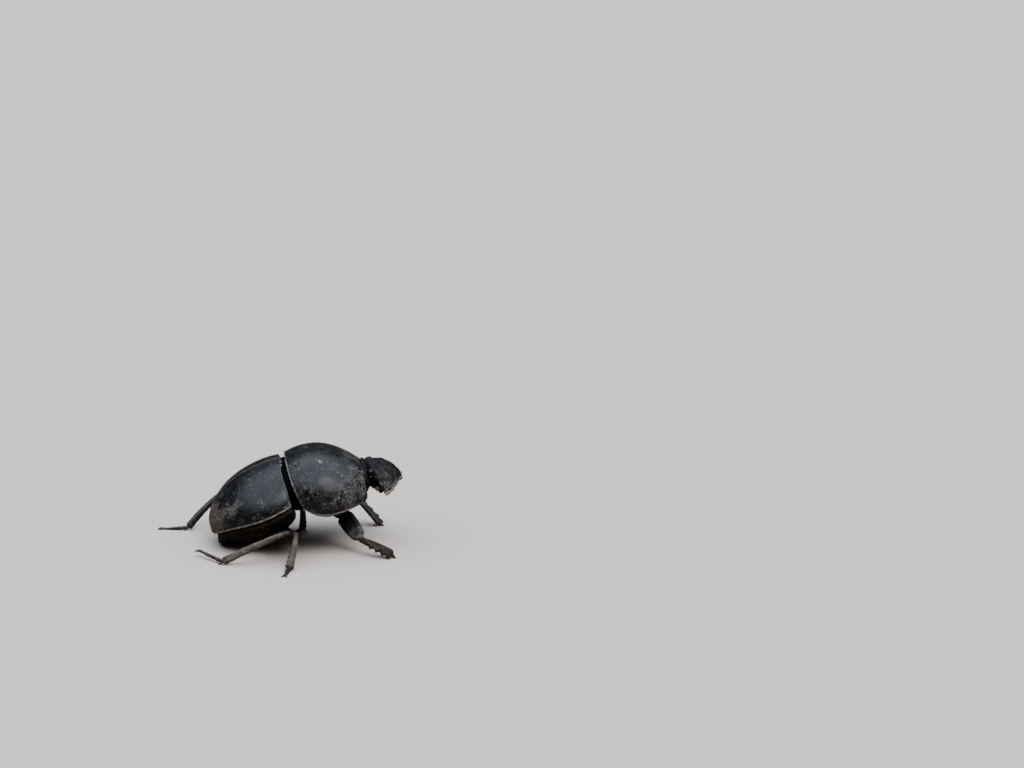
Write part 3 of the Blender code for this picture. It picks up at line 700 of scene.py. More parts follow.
print("stage: wing cases")
elytra = {
    "centre": (-6.02, 0.0, 8.11),
    "pitch": 27.5,  # nose up
    "rear": 11.96,
    "front": 12.8,
    "halfWidth": 12.4,
    "height": 7.47,
    "cut": 4.95,  # where the ellipsoid is cut off in front
    "cutBulge": 0.85,
    "corner": 0.45,
    "crestReach": 0.5,
    "marginBow": 0.9,
    "seam": 0.3,
    "thickness": 0.62,
    "rows": 140,
    "columns": 120,
    # each edge's rounding, raised bead and the groove behind it
    "edges": {"margin": (0.2, 0.07, 0.06), "front": (0.2, 0.03, 0.02), "suture": (0.12, 0.03, 0.03)},
    # the pale soil along each edge: strength, distance from the edge and spread
    "rims": {"margin": (0.9, 0.2, 0.19), "front": (0.5, 0.0, 0.16), "suture": (0.3, 0.0, 0.10)},
    "lumps": ((4.2, 0.05, 3), (1.1, 0.012, 9)),  # size, height and seed
    "striae": 8,
    "striaDepth": 0.012,
    "crumbs": {"template": crumb, "perSquareMm": 1.3, "length": 0.07, "shortest": 0.3, "lean": 0.0},
    # along, around, radii, paleness and seed
    "clods": (
        (0.012, 0.955, (0.30, 0.36, 0.12), 0.8, 211), (0.03, 0.975, (0.36, 0.2, 0.10), 0.6, 212),
        (0.015, 0.90, (0.2, 0.26, 0.10), 0.5, 213), (0.05, 0.94, (0.2, 0.16, 0.08), 0.9, 214),
        (0.0, 0.15, (0.30, 0.4, 0.30), 0.3, 215), (0.0, 0.235, (0.26, 0.4, 0.24), 0.7, 216),
    ),
    # worn and dusty places: along, around, reach and strength
    "scuffs": (
        (0.44, 0.56, 1.7, 0.6), (0.20, 0.67, 1.2, 0.4), (0.59, 0.54, 1.9, 0.55), (0.75, 0.72, 2.6, 0.45),
        (0.70, 0.45, 2.4, 0.5), (0.22, 0.30, 2.4, 0.25), (0.85, 0.5, 2.0, 0.3),
    ),
}
hindTurn = Matrix.Rotation(-math.radians(elytra["pitch"]), 4, "Y")
hindFrame = stanceFrame @ Matrix.Translation(elytra["centre"]) @ hindTurn


def hullGirth(x):
    return np.sqrt(np.clip(1.0 - (x / np.where(x > 0, elytra["front"], elytra["rear"])) ** 2, 0.0, 1.0))


def marginBow(x):
    t = np.clip((elytra["cut"] - x) / (elytra["cut"] + elytra["rear"]), 0.0, 1.0)
    return elytra["marginBow"] * np.sin(np.pi * t**2.4)


def elytronSurface(side, along, around):
    angle = 0.5 * np.pi * (1.0 - around)
    lift = np.sin(angle)
    start = np.full_like(lift, elytra["cut"])
    for _ in range(8):
        start = elytra["cut"] + elytra["cutBulge"] * hullGirth(start) * lift
    start = start - elytra["corner"] * (1.0 - lift) ** 4 + elytra["crestReach"] * lift**12
    turn = np.arccos(start / elytra["front"])
    sweep = turn + (np.pi - turn) * along
    x = np.cos(sweep) * np.where(np.cos(sweep) > 0, elytra["front"], elytra["rear"])
    girth = np.sin(sweep)
    inner = 0.5 * elytra["seam"]
    y = np.maximum(inner + (elytra["halfWidth"] * girth - inner) * np.cos(angle), inner)
    z = elytra["height"] * girth * lift + marginBow(x) * (1.0 - lift) ** 2
    return np.stack([x, side * y, z], -1)


def elytronSpot(side, along, around):
    return elytronSurface(side, np.array([along]), np.array([around]))[0]


def closedShell(name, outer, thickness, place, material, fields):
    # A plate of even thickness. Its inner face has the fields of the outer one, but grows no coat.
    rows, columns = outer.shape[:2]
    inner = outer - gridNormals(outer) * thickness
    count = rows * columns
    faces = [gridFaces(rows, columns), gridFaces(rows, columns, first=count)[:, ::-1]]
    index = np.arange(count).reshape(rows, columns)
    ring = np.concatenate([index[0, :-1], index[:-1, -1], index[-1, :0:-1], index[:0:-1, 0]])
    following = np.roll(ring, -1)
    faces.append(np.stack([ring, following, following + count, ring + count], -1))
    points = np.concatenate([outer.reshape(-1, 3), inner.reshape(-1, 3)])
    doubled = {}
    for key, value in fields.items():
        flat = value.reshape(count, -1)
        doubled[key] = np.concatenate([flat, flat * (key != "seta")])
    return makePiece(name, points, np.concatenate(faces), place, material, doubled)


def edgeProfile(away, radius, bead, groove):
    # How far the surface lies above (+) or below (-) its plain form, at a distance from its edge.
    close = np.clip(away / radius, 0.0, 1.0)
    rounding = -radius * (1.0 - np.sqrt(1.0 - (1.0 - close) ** 2))
    return rounding + bead * bell(away, 0.25, 0.13) - groove * bell(away, 0.52, 0.13)


def edgeRelief(away, edges):
    return sum(edgeProfile(distance, *edges[key]) for key, distance in away.items())


def edgeSoil(away, rims):
    return np.maximum.reduce([band(distance, *rims[key]) for key, distance in away.items()])


def addSpots(dusty, points, spotAt, spots):
    for alongAt, aroundAt, reach, strength in spots:
        distance = np.linalg.norm(points - spotAt(alongAt, aroundAt), axis=-1)
        dusty = dusty + strength * bell(distance, 0.0, reach)
    return dusty


def facingOut(outer, normals, at, *fields):
    # A shell and its fields, with their columns reversed where its faces would point in.
    grids = (outer, *fields)
    if np.dot(gridNormals(outer)[at], normals[at]) < 0:
        grids = tuple(grid[:, ::-1] for grid in grids)
    return grids


def makeElytron(name, side, node):
    along, around = np.meshgrid(crowded(elytra["rows"], 0.5), crowded(elytra["columns"], 0.7), indexing="ij")
    plain = elytronSurface(side, along, around)
    inFront = (10, 10)
    normals = gridNormals(plain, upAt=inFront)
    fromFront, _ = edgeSteps(plain, 0)
    fromSuture, fromMargin = edgeSteps(plain, 1)
    away = {"margin": fromMargin, "front": fromFront, "suture": fromSuture}
    height = edgeRelief(away, elytra["edges"]) + unevenness(plain, elytra["lumps"], side)
    lines = np.sin(np.pi * elytra["striae"] * around) ** 2
    striae = elytra["striaDepth"] * (1 - lines) ** 6
    height -= striae * ramp(fromSuture, 0.6, 1.6) * ramp(fromMargin, 1.0, 2.5)
    corner = 0.9 * bell(fromMargin, 0.3, 0.65) * bell(fromFront, 0.3, 0.7)
    rim = np.maximum(edgeSoil(away, elytra["rims"]), corner)
    dusty = 0.16 + 0.16 * ramp(around, 0.6, 1.0) + 0.14 * ramp(along, 0.3, 0.9)
    dusty += 0.35 * ramp(along, 0.35, 0.8) * bell(around, 0.0, 0.22)  # along the suture, at the rear
    dusty = addSpots(dusty, plain, lambda *at: elytronSpot(side, *at), elytra["scuffs"])
    outer, rim, dusty = facingOut(plain + normals * height[..., None], normals, inFront, rim, dusty)
    fields = {"rim": rim, "dusty": dusty, **coatFields(outer, dusty**2 + 0.5 * rim)}
    piece = closedShell(name, outer, elytra["thickness"], hindFrame, shellBlack, fields)
    growCoat(name + "Soil", piece, "shell", **elytra["crumbs"], seed=11 + side)
    return settle(piece, "shell", node)


makeElytron("elytronRight", -1, "elytron_right")
makeElytron("elytronLeft", 1, "elytron_left")


print("stage: shield")
shield = {
    "rear": 0.25,
    "front": 12.01,
    "rearLean": -3.16,
    "frontLean": -0.09,
    "arch": 2.42,
    "frontBulge": 0.6,
    "rearBulge": 0.3,
    "bulgePeak": 0.25 * 0.75**3,
    "halfWidths": (11.15, 13.43, 13.39, 8.37),  # from the rear edge to the front edge
    "marginHeights": (9.60, 7.25, 9.41, 10.00),
    "crestHeights": (16.93, 19.92, 18.87, 15.35),
    "thickness": 0.72,
    "rows": 110,
    "columns": 240,
    # each edge's rounding, raised bead and the groove behind it
    "edges": {"rear": (0.22, 0.09, 0.05), "front": (0.22, 0.02, 0.02), "side": (0.22, 0.10, 0.06)},
    # the pale soil along each edge: strength, distance from the edge and spread
    "rims": {"rear": (0.95, 0.14, 0.15), "front": (0.3, 0.1, 0.2), "side": (0.7, 0.15, 0.17)},
    "lumps": ((4.6, 0.045, 21), (0.9, 0.010, 22)),  # size, height and seed
    "settle": 0.05,  # keeps the crest under its solid's
    "crumbs": {"template": crumb, "perSquareMm": 1.3, "length": 0.075, "shortest": 0.3, "lean": 0.0},
    # s, around, radii, paleness and seed
    "clods": (
        (0.43, 0.34, (0.34, 0.5, 0.10), 1.0, 201), (0.45, 0.33, (0.2, 0.25, 0.09), 0.9, 204),
        (0.12, 0.35, (0.34, 0.3, 0.26), 0.45, 202), (0.16, 0.36, (0.2, 0.22, 0.15), 0.1, 203),
    ),
    # dusty places: s, around, reach and strength
    "soil": (
        (0.40, 0.27, 1.3, 0.3), (0.14, 0.35, 1.0, 0.3), (0.62, 0.08, 2.6, 0.25), (0.92, 0.20, 3.2, 0.3),
        (0.10, 0.17, 2.0, 0.25), (0.75, 0.05, 2.2, 0.25), (0.40, 0.72, 2.0, 0.3),
    ),
}


def through(values, s):
    a, b, c, d = values
    r = 1.0 - s
    return a * r**3 + 3 * b * s * r * r + 3 * c * s * s * r + d * s**3


def shieldSurface(s, angle, inset=0.0):
    width = through(shield["halfWidths"], s) - inset
    margin = through(shield["marginHeights"], s)
    crest = through(shield["crestHeights"], s) - inset
    rise = np.abs(np.sin(angle)) ** (2 / shield["arch"])
    across = signedPower(np.cos(angle), 2 / shield["arch"])
    rear = shield["rear"] + shield["rearLean"] * rise - 4.0 * shield["rearBulge"] * rise * (1.0 - rise)
    front = shield["front"] + shield["frontLean"] * rise
    front = front + shield["frontBulge"] * rise * (1.0 - rise) ** 3 / shield["bulgePeak"]
    return np.stack([rear + (front - rear) * s, -width * across, margin + (crest - margin) * rise], -1)


def shieldSpot(s, around):
    return shieldSurface(np.array(s), np.array(np.pi * around))


def makeShield():
    s, around = np.meshgrid(crowded(shield["rows"], 0.6), crowded(shield["columns"], 0.85), indexing="ij")
    plain = shieldSurface(s, np.pi * around)
    onCrest = (50, 120)
    normals = gridNormals(plain, upAt=onCrest)
    fromRear, fromFront = edgeSteps(plain, 0)
    fromRight, fromLeft = edgeSteps(plain, 1)
    away = {"rear": fromRear, "front": fromFront, "side": np.minimum(fromRight, fromLeft)}
    height = edgeRelief(away, shield["edges"]) + (unevenness(plain, shield["lumps"]) - shield["settle"])
    rim = edgeSoil(away, shield["rims"])
    dusty = 0.22 + 0.28 * ramp(s, 0.5, 0.9) + 0.20 * ramp(np.abs(around - 0.5), 0.22, 0.46)
    dusty = addSpots(dusty, plain, shieldSpot, shield["soil"])
    outer, rim, dusty = facingOut(plain + normals * height[..., None], normals, onCrest, rim, dusty)
    fields = {"rim": rim, "dusty": dusty, **coatFields(outer, dusty**2 + 0.6 * rim)}
    piece = closedShell("shield", outer, shield["thickness"], stanceFrame, shellBlack, fields)
    growCoat("shieldSoil", piece, "shell", **shield["crumbs"], seed=14)
    return settle(piece, "shell", "pronotum")


def makeClods(name, spotAt, clods, place):
    # Flakes and crumbs of soil that cling to a shell.
    grids = []
    fields = []
    for alongAt, aroundAt, radii, tone, seed in clods:
        spot = spotAt(alongAt, aroundAt)
        ahead = unit(spotAt(alongAt + 0.01, aroundAt) - spot)
        aside = unit(spotAt(alongAt, aroundAt + 0.01) - spot)
        out = unit(np.cross(ahead, aside))
        out = out if out[2] > 0 else -out
        ball, _ = ballGrid((0, 0, 0), radii, 26, 36)
        ball = roughened(ball, "clod", seed)
        grids.append(spot + ball[..., :1] * ahead + ball[..., 1:2] * aside + ball[..., 2:] * out)
        fields.append({"reach": tone * np.ones(ball.shape[:2])})
    return settle(joinGrids(name, grids, place, soilCrumb, fields), "shell")


print("stage: trunk")
belly = {
    "depth": 5.0,
    "deepest": -2.5,
    "rearReach": 10.0,
    "frontReach": 8.2,
    "squareness": 2.15,
    "pygidiumStart": -9.0,
    "pygidiumLean": 0.38,
    "clearance": 0.9,
    "gap": 0.3,
    "inset": 1.15,  # under the wing cases
    "flankInset": 0.55,  # and below their margin
    "marginDrop": 0.15,
    "roofDrop": 0.1,
    "flankDrop": 0.4,
    "rows": 120,
    "half": 70,
    "sternites": (-8.3, -6.7, -5.2, -3.8, -2.5),  # where each plate ends, over the next one behind it
    "step": 0.13,
}
trunkHair = {
    "hind": {"template": hair, "perSquareMm": 2.2, "length": 0.42, "shortest": 0.45, "lean": 1.6},
    "fore": {"template": hair, "perSquareMm": 5.0, "length": 0.65, "shortest": 0.4, "lean": 1.1},
}
legs = {
    "foreRight": {"hip": (7.65, -3.3, 6.8), "knee": (11.15, -10.2, 3.1), "ankle": (16.8, -13.2, 1.0)},
    "foreLeft": {"hip": (7.65, 3.3, 6.8), "knee": (10.9, 10.9, 5.7), "ankle": (15.9, 8.4, 0.55)},
    "midRight": {
        "hip": (-3.9, -4.9, 3.9),
        "knee": (-1.3, -12.9, 5.2),
        "ankle": (-3.0, -20.0, 0.9),
        "toe": (-3.9, -23.2, 0.4),
    },
    "midLeft": {
        "hip": (-3.9, 4.9, 3.9),
        "knee": (0.9, 11.6, 5.4),
        "ankle": (0.8, 5.4, 1.0),
        "toe": (-3.4, 1.6, 0.4),
    },
    "hindRight": {
        "hip": (-7.5, -4.6, 2.2),
        "knee": (-3.0, -16.0, 6.6),
        "ankle": (-15.1, -14.6, 0.9),
        "toe": (-19.4, -8.8, 1.5),
    },
    "hindLeft": {
        "hip": (-7.5, 4.6, 2.2),
        "knee": (-10.9, 15.6, 7.3),
        "ankle": (-20.9, 8.6, 0.9),
        "toe": (-25.9, 9.6, 0.4),
    },
}
thigh = {
    "coxa": {"fore": (1.6, 1.5, 1.5), "mid": (1.7, 2.0, 1.1), "hind": (1.8, 2.2, 1.0)},
    "halfWidth": {"fore": 1.7, "mid": 1.25, "hind": 1.3},
    "halfDepth": {"fore": 1.0, "mid": 0.8, "hind": 0.8},
    "bow": {"fore": 0.0, "mid": 0.2, "hind": 0.5},
    # dust at the hip, what is added at the knee, and where that starts and ends
    "dust": {
        "fore": (0.15, 0.85, 0.45, 0.75),
        "mid": (0.10, 0.55, 0.72, 0.98),
        "hind": (0.10, 0.55, 0.72, 0.98),
    },
    "beside": 0.25,  # the room that the skin leaves beside and above a thigh
    "above": 0.2,
    "below": 3.0,  # skin deeper than this under a thigh stays where it is
}


def legKind(label):
    return "fore" if label.startswith("fore") else "mid" if label.startswith("mid") else "hind"


def legSide(label):
    return -1 if label.endswith("Right") else 1


def thighPath(label):
    kind = legKind(label)
    hip, knee = (np.array(legs[label][key]) for key in ("hip", "knee"))
    heading = unit(knee - hip)
    leave = 1.0 / np.linalg.norm(heading / np.array(thigh["coxa"][kind]))
    start = hip + heading * 0.55 * leave
    end = knee - heading * 0.25
    return [start, (start + end) / 2 + np.array((0.0, 0.0, -thigh["bow"][kind])), end]


def alongPath(path, t):
    start, bend, end = path
    t = np.asarray(t)[..., None]
    return start * (1 - t) ** 2 + bend * 2 * t * (1 - t) + end * t * t


def bellyDepth(x):
    reach = np.where(x < belly["deepest"], belly["rearReach"], belly["frontReach"])
    share = np.minimum(1.0, np.abs((x - belly["deepest"]) / reach))
    depth = belly["depth"] * (1.0 - share**2.6) ** (1 / 2.6)
    pitch = math.radians(elytra["pitch"])
    room = (elytra["centre"][2] + x * math.sin(pitch) - belly["clearance"]) / math.cos(pitch)
    return np.minimum(depth, room - belly["gap"])


def trunkGrid(x, lean):
    # Rings round the hind trunk: under the wing cases above their margin, full width below it.
    half = belly["half"]
    inset = belly["inset"]
    reach = np.where(x < 0, elytra["rear"] - inset, elytra["front"])
    girth = np.sqrt(np.clip(1.0 - (x / reach) ** 2, 0.0, 1.0))
    base = marginBow(x) - belly["marginDrop"]
    upper = np.pi * np.arange(half + 1) / half
    yTop = ((elytra["halfWidth"] - inset) * girth)[:, None] * np.cos(upper)
    zTop = ((elytra["height"] - inset) * girth)[:, None] * np.sin(upper) - belly["roofDrop"]
    zTop = np.maximum(zTop, base[:, None])
    lower = np.pi + np.pi * np.arange(half + 1) / half
    square = 2 / belly["squareness"]
    flank = (elytra["halfWidth"] - belly["flankInset"]) * hullGirth(x)
    yLow = flank[:, None] * signedPower(np.cos(lower), square)
    zLow = (base - belly["flankDrop"])[:, None] + bellyDepth(x)[:, None] * signedPower(np.sin(lower), square)
    y = np.concatenate([yTop, yLow], 1)
    z = np.concatenate([zTop, zLow], 1)
    under = np.concatenate([np.zeros_like(yTop), np.abs(np.sin(lower)) * np.ones_like(yLow)], 1)
    return np.stack([x[:, None] + lean[:, None] * z, y, z], -1), under


def clearOfThighs(points, labels, place):
    # Lifts the skin off each thigh that lies against it, so the leg rests in a shallow groove.
    turn = np.array(place.to_3x3())
    world = points @ turn.T + np.array(place.translation)
    for label in labels:
        kind = legKind(label)
        axis = alongPath(thighPath(label), np.linspace(0, 1, 24)) + np.array(stanceOrigin)
        flat = world[..., None, :2] - axis[:, :2]
        distance = np.linalg.norm(flat, axis=-1)
        nearest = distance.argmin(-1)
        away = distance.min(-1)
        reach = thigh["halfWidth"][kind] + thigh["beside"]
        vault = np.sqrt(np.clip(1 - (away / reach) ** 2, 0, 1))
        top = axis[nearest, 2] + (thigh["halfDepth"][kind] + thigh["above"]) * vault
        inside = (away < reach) & (world[..., 2] < top) & (world[..., 2] > axis[nearest, 2] - thigh["below"])
        world[..., 2] = np.where(inside, top, world[..., 2])
    return (world - np.array(place.translation)) @ turn


def closedTube(name, grid, place, material, fields):
    # A tube of rings, closed by a point in the middle of each end.
    columns = grid.shape[1]
    first, last = (ring.mean(1, keepdims=True).repeat(columns, 1) for ring in (grid[:1], grid[-1:]))
    full = np.concatenate([first, grid, last])
    flat = {}
    for key, values in fields.items():
        grown = np.concatenate([values[:1], values, values[-1:]])
        flat[key] = grown.reshape(len(full) * columns, -1)
    return makePiece(name, full, gridFaces(len(full), columns, wrapped=True), place, material, flat)


def makeHindTrunk():
    front = elytra["cut"] - 0.7
    share = np.linspace(0.0, 1.0, belly["rows"])
    x = front + (belly["pygidiumStart"] + 0.1 - front) * share
    lean = elytra["cutBulge"] / elytra["height"] * (1.0 - share) ** 2
    grid, under = trunkGrid(x, lean)
    normals = gridNormals(grid, wrapped=True, upAt=(60, 35))
    bulge = np.zeros_like(x)
    for end in belly["sternites"]:
        bulge += belly["step"] * np.clip(1.0 - (x - end) / 1.4, 0.0, 1.0) * (x > end)
    height = bulge[:, None] * ramp(under, 0.05, 0.5) + 0.05 * lumps(grid, 1.7, 31) * under
    height -= 0.16 * bell(under, 0.28, 0.10) * ramp(x, -9.5, -2.0)[:, None]
    grid = grid + normals * height[..., None]
    grid = clearOfThighs(grid, ["midRight", "midLeft", "hindRight", "hindLeft"], hindFrame)
    fields = {"rim": 0.6 * bell(under, 0.02, 0.05), "dusty": 0.25 + 0.35 * under}
    fields.update(coatFields(grid, ramp(under, 0.02, 0.2)))
    piece = closedTube("hindTrunk", grid, hindFrame, bellyBrown, fields)
    growCoat("hindTrunkHair", piece, "underside", **trunkHair["hind"], seed=21)
    return settle(piece, "underside", "hind_body")


def makePygidium():
    share = 1.0 - (1.0 - np.linspace(0.0, 1.0, 46)) ** 1.6
    end = -(elytra["rear"] - 0.7 - belly["gap"]) + 0.15
    x = belly["pygidiumStart"] - 0.1 + (end - belly["pygidiumStart"]) * share
    grid, under = trunkGrid(x, belly["pygidiumLean"] * share)
    normals = gridNormals(grid, wrapped=True, upAt=(5, 35))
    height = 0.03 * lumps(grid, 0.7, 37) - 0.10 * bell(share, 0.0, 0.12)[:, None]
    grid = grid + normals * height[..., None]
    rim = 0.5 * bell(share, 0.03, 0.05)[:, None] * np.ones_like(under)
    fields = {"rim": rim, "dusty": 0.35 + 0.3 * under}
    return settle(closedTube("pygidium", grid, hindFrame, bellyBrown, fields), "underside", "pygidium")


foreTrunk = {
    "start": 0.17,  # its place and length are shares of the shield's length
    "length": 0.7,
    "inset": 1.2,
    "insetGrowth": 0.6,
    "keel": 2.7,
    "rows": 80,
    "half": 60,
}


def makeForeTrunk():
    s = foreTrunk["start"] + foreTrunk["length"] * np.linspace(0.0, 1.0, foreTrunk["rows"])
    half = foreTrunk["half"]
    inset = foreTrunk["inset"] + foreTrunk["insetGrowth"] * s**3
    angle = np.pi * np.arange(half + 1) / half
    upper = shieldSurface(s[:, None], angle[None, :], inset[:, None])
    margin = through(shield["marginHeights"], s)[:, None]
    width = through(shield["halfWidths"], s)[:, None] - inset[:, None]
    upper[..., 2] = np.maximum(upper[..., 2], margin + 0.05)
    ends = np.sin(np.pi * np.minimum(1.0, 0.1 + 0.9 * s))[:, None] ** 0.5
    low = np.pi * np.arange(1, half) / half
    y = width * np.cos(low)
    z = margin - 0.3 - foreTrunk["keel"] * ends * (1.0 - np.abs(np.cos(low)))
    lower = np.stack([np.broadcast_to(upper[:, :1, 0], y.shape), y, z], -1)
    grid = np.concatenate([upper, lower], 1)
    under = np.concatenate([np.zeros(upper.shape[:2]), np.sin(low)[None, :] * np.ones_like(s)[:, None]], 1)
    normals = gridNormals(grid, wrapped=True, upAt=(40, 30))
    height = 0.06 * lumps(grid, 1.4, 41) * under
    height = height + 0.12 * bell(under, 0.97, 0.05) - 0.15 * bell(under, 0.45, 0.06)
    grid = clearOfThighs(grid + normals * height[..., None], ["foreRight", "foreLeft"], stanceFrame)
    fields = {"rim": 0.3 * bell(under, 0.05, 0.08), "dusty": 0.3 + 0.3 * under}
    fields.update(coatFields(grid, ramp(under, 0.05, 0.3)))
    piece = closedTube("foreTrunk", grid, stanceFrame, bellyBrown, fields)
    growCoat("foreTrunkHair", piece, "underside", **trunkHair["fore"], seed=22)
    return settle(piece, "underside", "fore_body")


waist = {
    "level": 9.9,
    "lean": 0.39,
    # hoops from rear to front: place, half width, crest height and depth
    "hoops": (
        (-2.3, 8.6, 14.0, 1.2),
        (-1.9, 9.8, 15.2, 1.8),
        (-1.3, 10.1, 15.8, 2.2),
        (-0.6, 10.1, 16.0, 2.2),
        (-0.2, 9.8, 15.5, 2.2),
        (1.0, 9.4, 15.2, 2.0),
        (1.6, 8.4, 14.2, 1.4),
    ),
}
# ovals from rear to front: place, height, half width and half height
neckOvals = (
    (10.9, 12.2, 3.6, 1.6),
    (11.5, 12.7, 4.7, 3.1),
    (12.05, 12.75, 4.8, 3.5),
    (12.6, 12.6, 4.5, 3.1),
    (13.4, 12.2, 2.8, 1.3),
)


def sections(stations, rows):
    # Each column of the stations, spread evenly over the rows.
    stations = np.array(stations, float)
    at = np.linspace(0, len(stations) - 1, rows)
    found = np.stack([np.interp(at, np.arange(len(stations)), column) for column in stations.T], -1)
    return [found[:, k : k + 1] for k in range(stations.shape[1])]


def makeSkin(name, grid, node, finish, dust, pleats, folds):
    rows, columns = grid.shape[:2]
    normals = gridNormals(grid, wrapped=True, upAt=(rows // 2, columns // 4))
    fold = pleats * np.sin(np.linspace(0, 2 * folds * np.pi, rows))[:, None] * np.ones(columns)
    grid = grid + normals * (fold + 0.04 * lumps(grid, 0.8, 51))[..., None]
    fields = {"rim": np.zeros((rows, columns)), "dusty": dust * np.ones((rows, columns))}
    return settle(closedTube(name, grid, stanceFrame, finish, fields), "underside", node)


def makeWaist():
    x, halfWidth, crest, depth = sections(waist["hoops"], 48)
    angle = 2 * np.pi * np.arange(180) / 180
    arched = angle < np.pi
    lift = np.abs(np.sin(angle)) ** (2 / shield["arch"])
    across = signedPower(np.cos(angle), np.where(arched, 2 / shield["arch"], 1.0))
    up = np.where(arched, (crest - waist["level"]) * lift, depth * np.sin(angle))
    grid = np.stack([x - waist["lean"] * up, halfWidth * across, waist["level"] + up], -1)
    # The waist skin gets no soil, so its painted shade stays unbroken.
    makeSkin("waistSkin", grid, "mid_body", jointSkinAndShade, 0.0, 0.05, 4)


def makeNeck():
    x, z, halfWidth, halfHeight = sections(neckOvals, 40)
    angle = 2 * np.pi * np.arange(96) / 96
    grid = np.stack([x + 0 * angle, halfWidth * np.cos(angle), z + halfHeight * np.sin(angle)], -1)
    makeSkin("neckSkin", grid, "neck", headBlack, 0.3, 0.04, 3)


makeHindTrunk()
makePygidium()
makeForeTrunk()
makeWaist()
makeNeck()


print("stage: head")
headSizes = {
    "at": (12.35, 0.0, 16.2),
    "pitch": 16.0,
    "roll": -3.0,
    "length": 7.6,
    "halfWidth": 6.75,
    "widest": 5.0,
    "arch": 3.4,
    "crown": 0.6,
    "dip": 1.1,
    "thickness": 2.6,
    "nape": 1.2,
    "rim": 0.5,
    "tooth": 0.45,
    "notch": 0.25,
    "eyeRadius": 0.72,
    "socket": 0.82,
    "eyeAt": (1.5, 3.75, -1.25),
    "spokes": 260,
    "rings": 74,
    "middle": 0.46,  # where the rings of points start, as a share of the length
    "forward": (0.2, 2.0),  # the front rim's relief starts here and is full this much further on
    "frontRidge": (0.10, 0.25, 0.22),  # height, distance from the front rim and spread
    "frontGroove": (0.07, 0.75, 0.35),
    "brow": {"height": 0.10, "at": 0.40, "bow": 0.02, "spread": 0.28, "half": 3.2},
    "furrow": {"depth": 0.10, "aside": 2.2, "slant": 0.32, "spread": 0.16, "from": 1.0},
    "edgeRound": 0.14,
    "edgeReach": 0.2,
    "lumps": ((1.5, 0.06, 61), (0.6, 0.04, 62)),  # size, height and seed
    "pitSize": 0.5,
    "pitDepth": 0.055,
    "fringe": {"template": hair, "perSquareMm": 16.0, "length": 0.55, "shortest": 0.4, "lean": 1.4},
}
headTurn = Matrix.Rotation(math.radians(headSizes["pitch"]), 4, "Y")
headTurn = headTurn @ Matrix.Rotation(math.radians(-headSizes["roll"]), 4, "X")
headFrame = stanceFrame @ Matrix.Translation(headSizes["at"]) @ headTurn


def headOutline(turn):
    across = np.sin(turn)
    forward = np.cos(turn)
    back = np.clip(-forward, 0.0, 1.0) ** 0.8
    cheek = (1.0 - 0.5 * back) * (1.0 - back**8) ** (1 / 3)
    ahead = np.clip(forward, 0.0, 1.0) ** 1.2
    front = headSizes["widest"] * (1.0 - back) + (headSizes["length"] - headSizes["widest"]) * ahead
    width = headSizes["halfWidth"] * np.where(forward < 0, cheek * across, signedPower(across, 1.2))
    tooth = np.where(forward > 0.5, bell(np.abs(width), 1.25, 0.55), 0.0)
    notch = np.where(forward > 0.5, bell(width, 0.0, 0.6), 0.0)
    return front + headSizes["tooth"] * tooth - headSizes["notch"] * notch, width


def headTop(p, q, reach):
    along = np.clip(p / headSizes["length"], 0.0, 1.0)
    arch = -headSizes["arch"] * np.abs(q / headSizes["halfWidth"]) ** 2.1
    dip = -headSizes["dip"] * np.clip((p / headSizes["length"] - 0.35) / 0.65, 0.0, 1.0) ** 2.5
    inner = np.clip(1.0 - (q / headSizes["halfWidth"]) ** 2, 0.0, 1.0)
    crown = headSizes["crown"] * np.sin(np.pi * along**1.3) * inner
    crease = p - 0.42 * headSizes["length"] - 0.12 * np.abs(q)
    return arch + dip + crown + 0.16 * bell(crease, 0.0, 0.5) * (1.0 - reach)


def headRelief(p, q, away, forward, spots):
    # The raised front rim and the groove behind it, the brow's ridge, the cheeks' furrows, and pits.
    brow = headSizes["brow"]
    furrow = headSizes["furrow"]
    relief = band(away, *headSizes["frontRidge"]) * forward - band(away, *headSizes["frontGroove"]) * forward
    ahead = p - brow["at"] * headSizes["length"] + brow["bow"] * q * q
    relief += band(ahead, brow["height"], 0.0, brow["spread"]) * (np.abs(q) < brow["half"])
    cheek = np.abs(q) - furrow["aside"] - furrow["slant"] * (p - furrow["from"])
    groove = band(cheek, furrow["depth"], 0.0, furrow["spread"])
    relief -= groove * ramp(p, 1.4, 2.4) * (1 - ramp(p, 5.2, 6.2))
    relief += unevenness(spots, headSizes["lumps"])
    pitted = (1 - ramp(pits(spots, headSizes["pitSize"], 63), 0.12, 0.5)) * ramp(away, 0.1, 0.5)
    return relief - headSizes["pitDepth"] * pitted, pitted


def pushOut(grid, centre, radius):
    # Moves the points of a grid out of a ball.
    gap = grid - centre
    distance = np.linalg.norm(gap, axis=-1, keepdims=True)
    return np.where(distance < radius, centre + gap / np.maximum(distance, 0.05) * radius, grid)


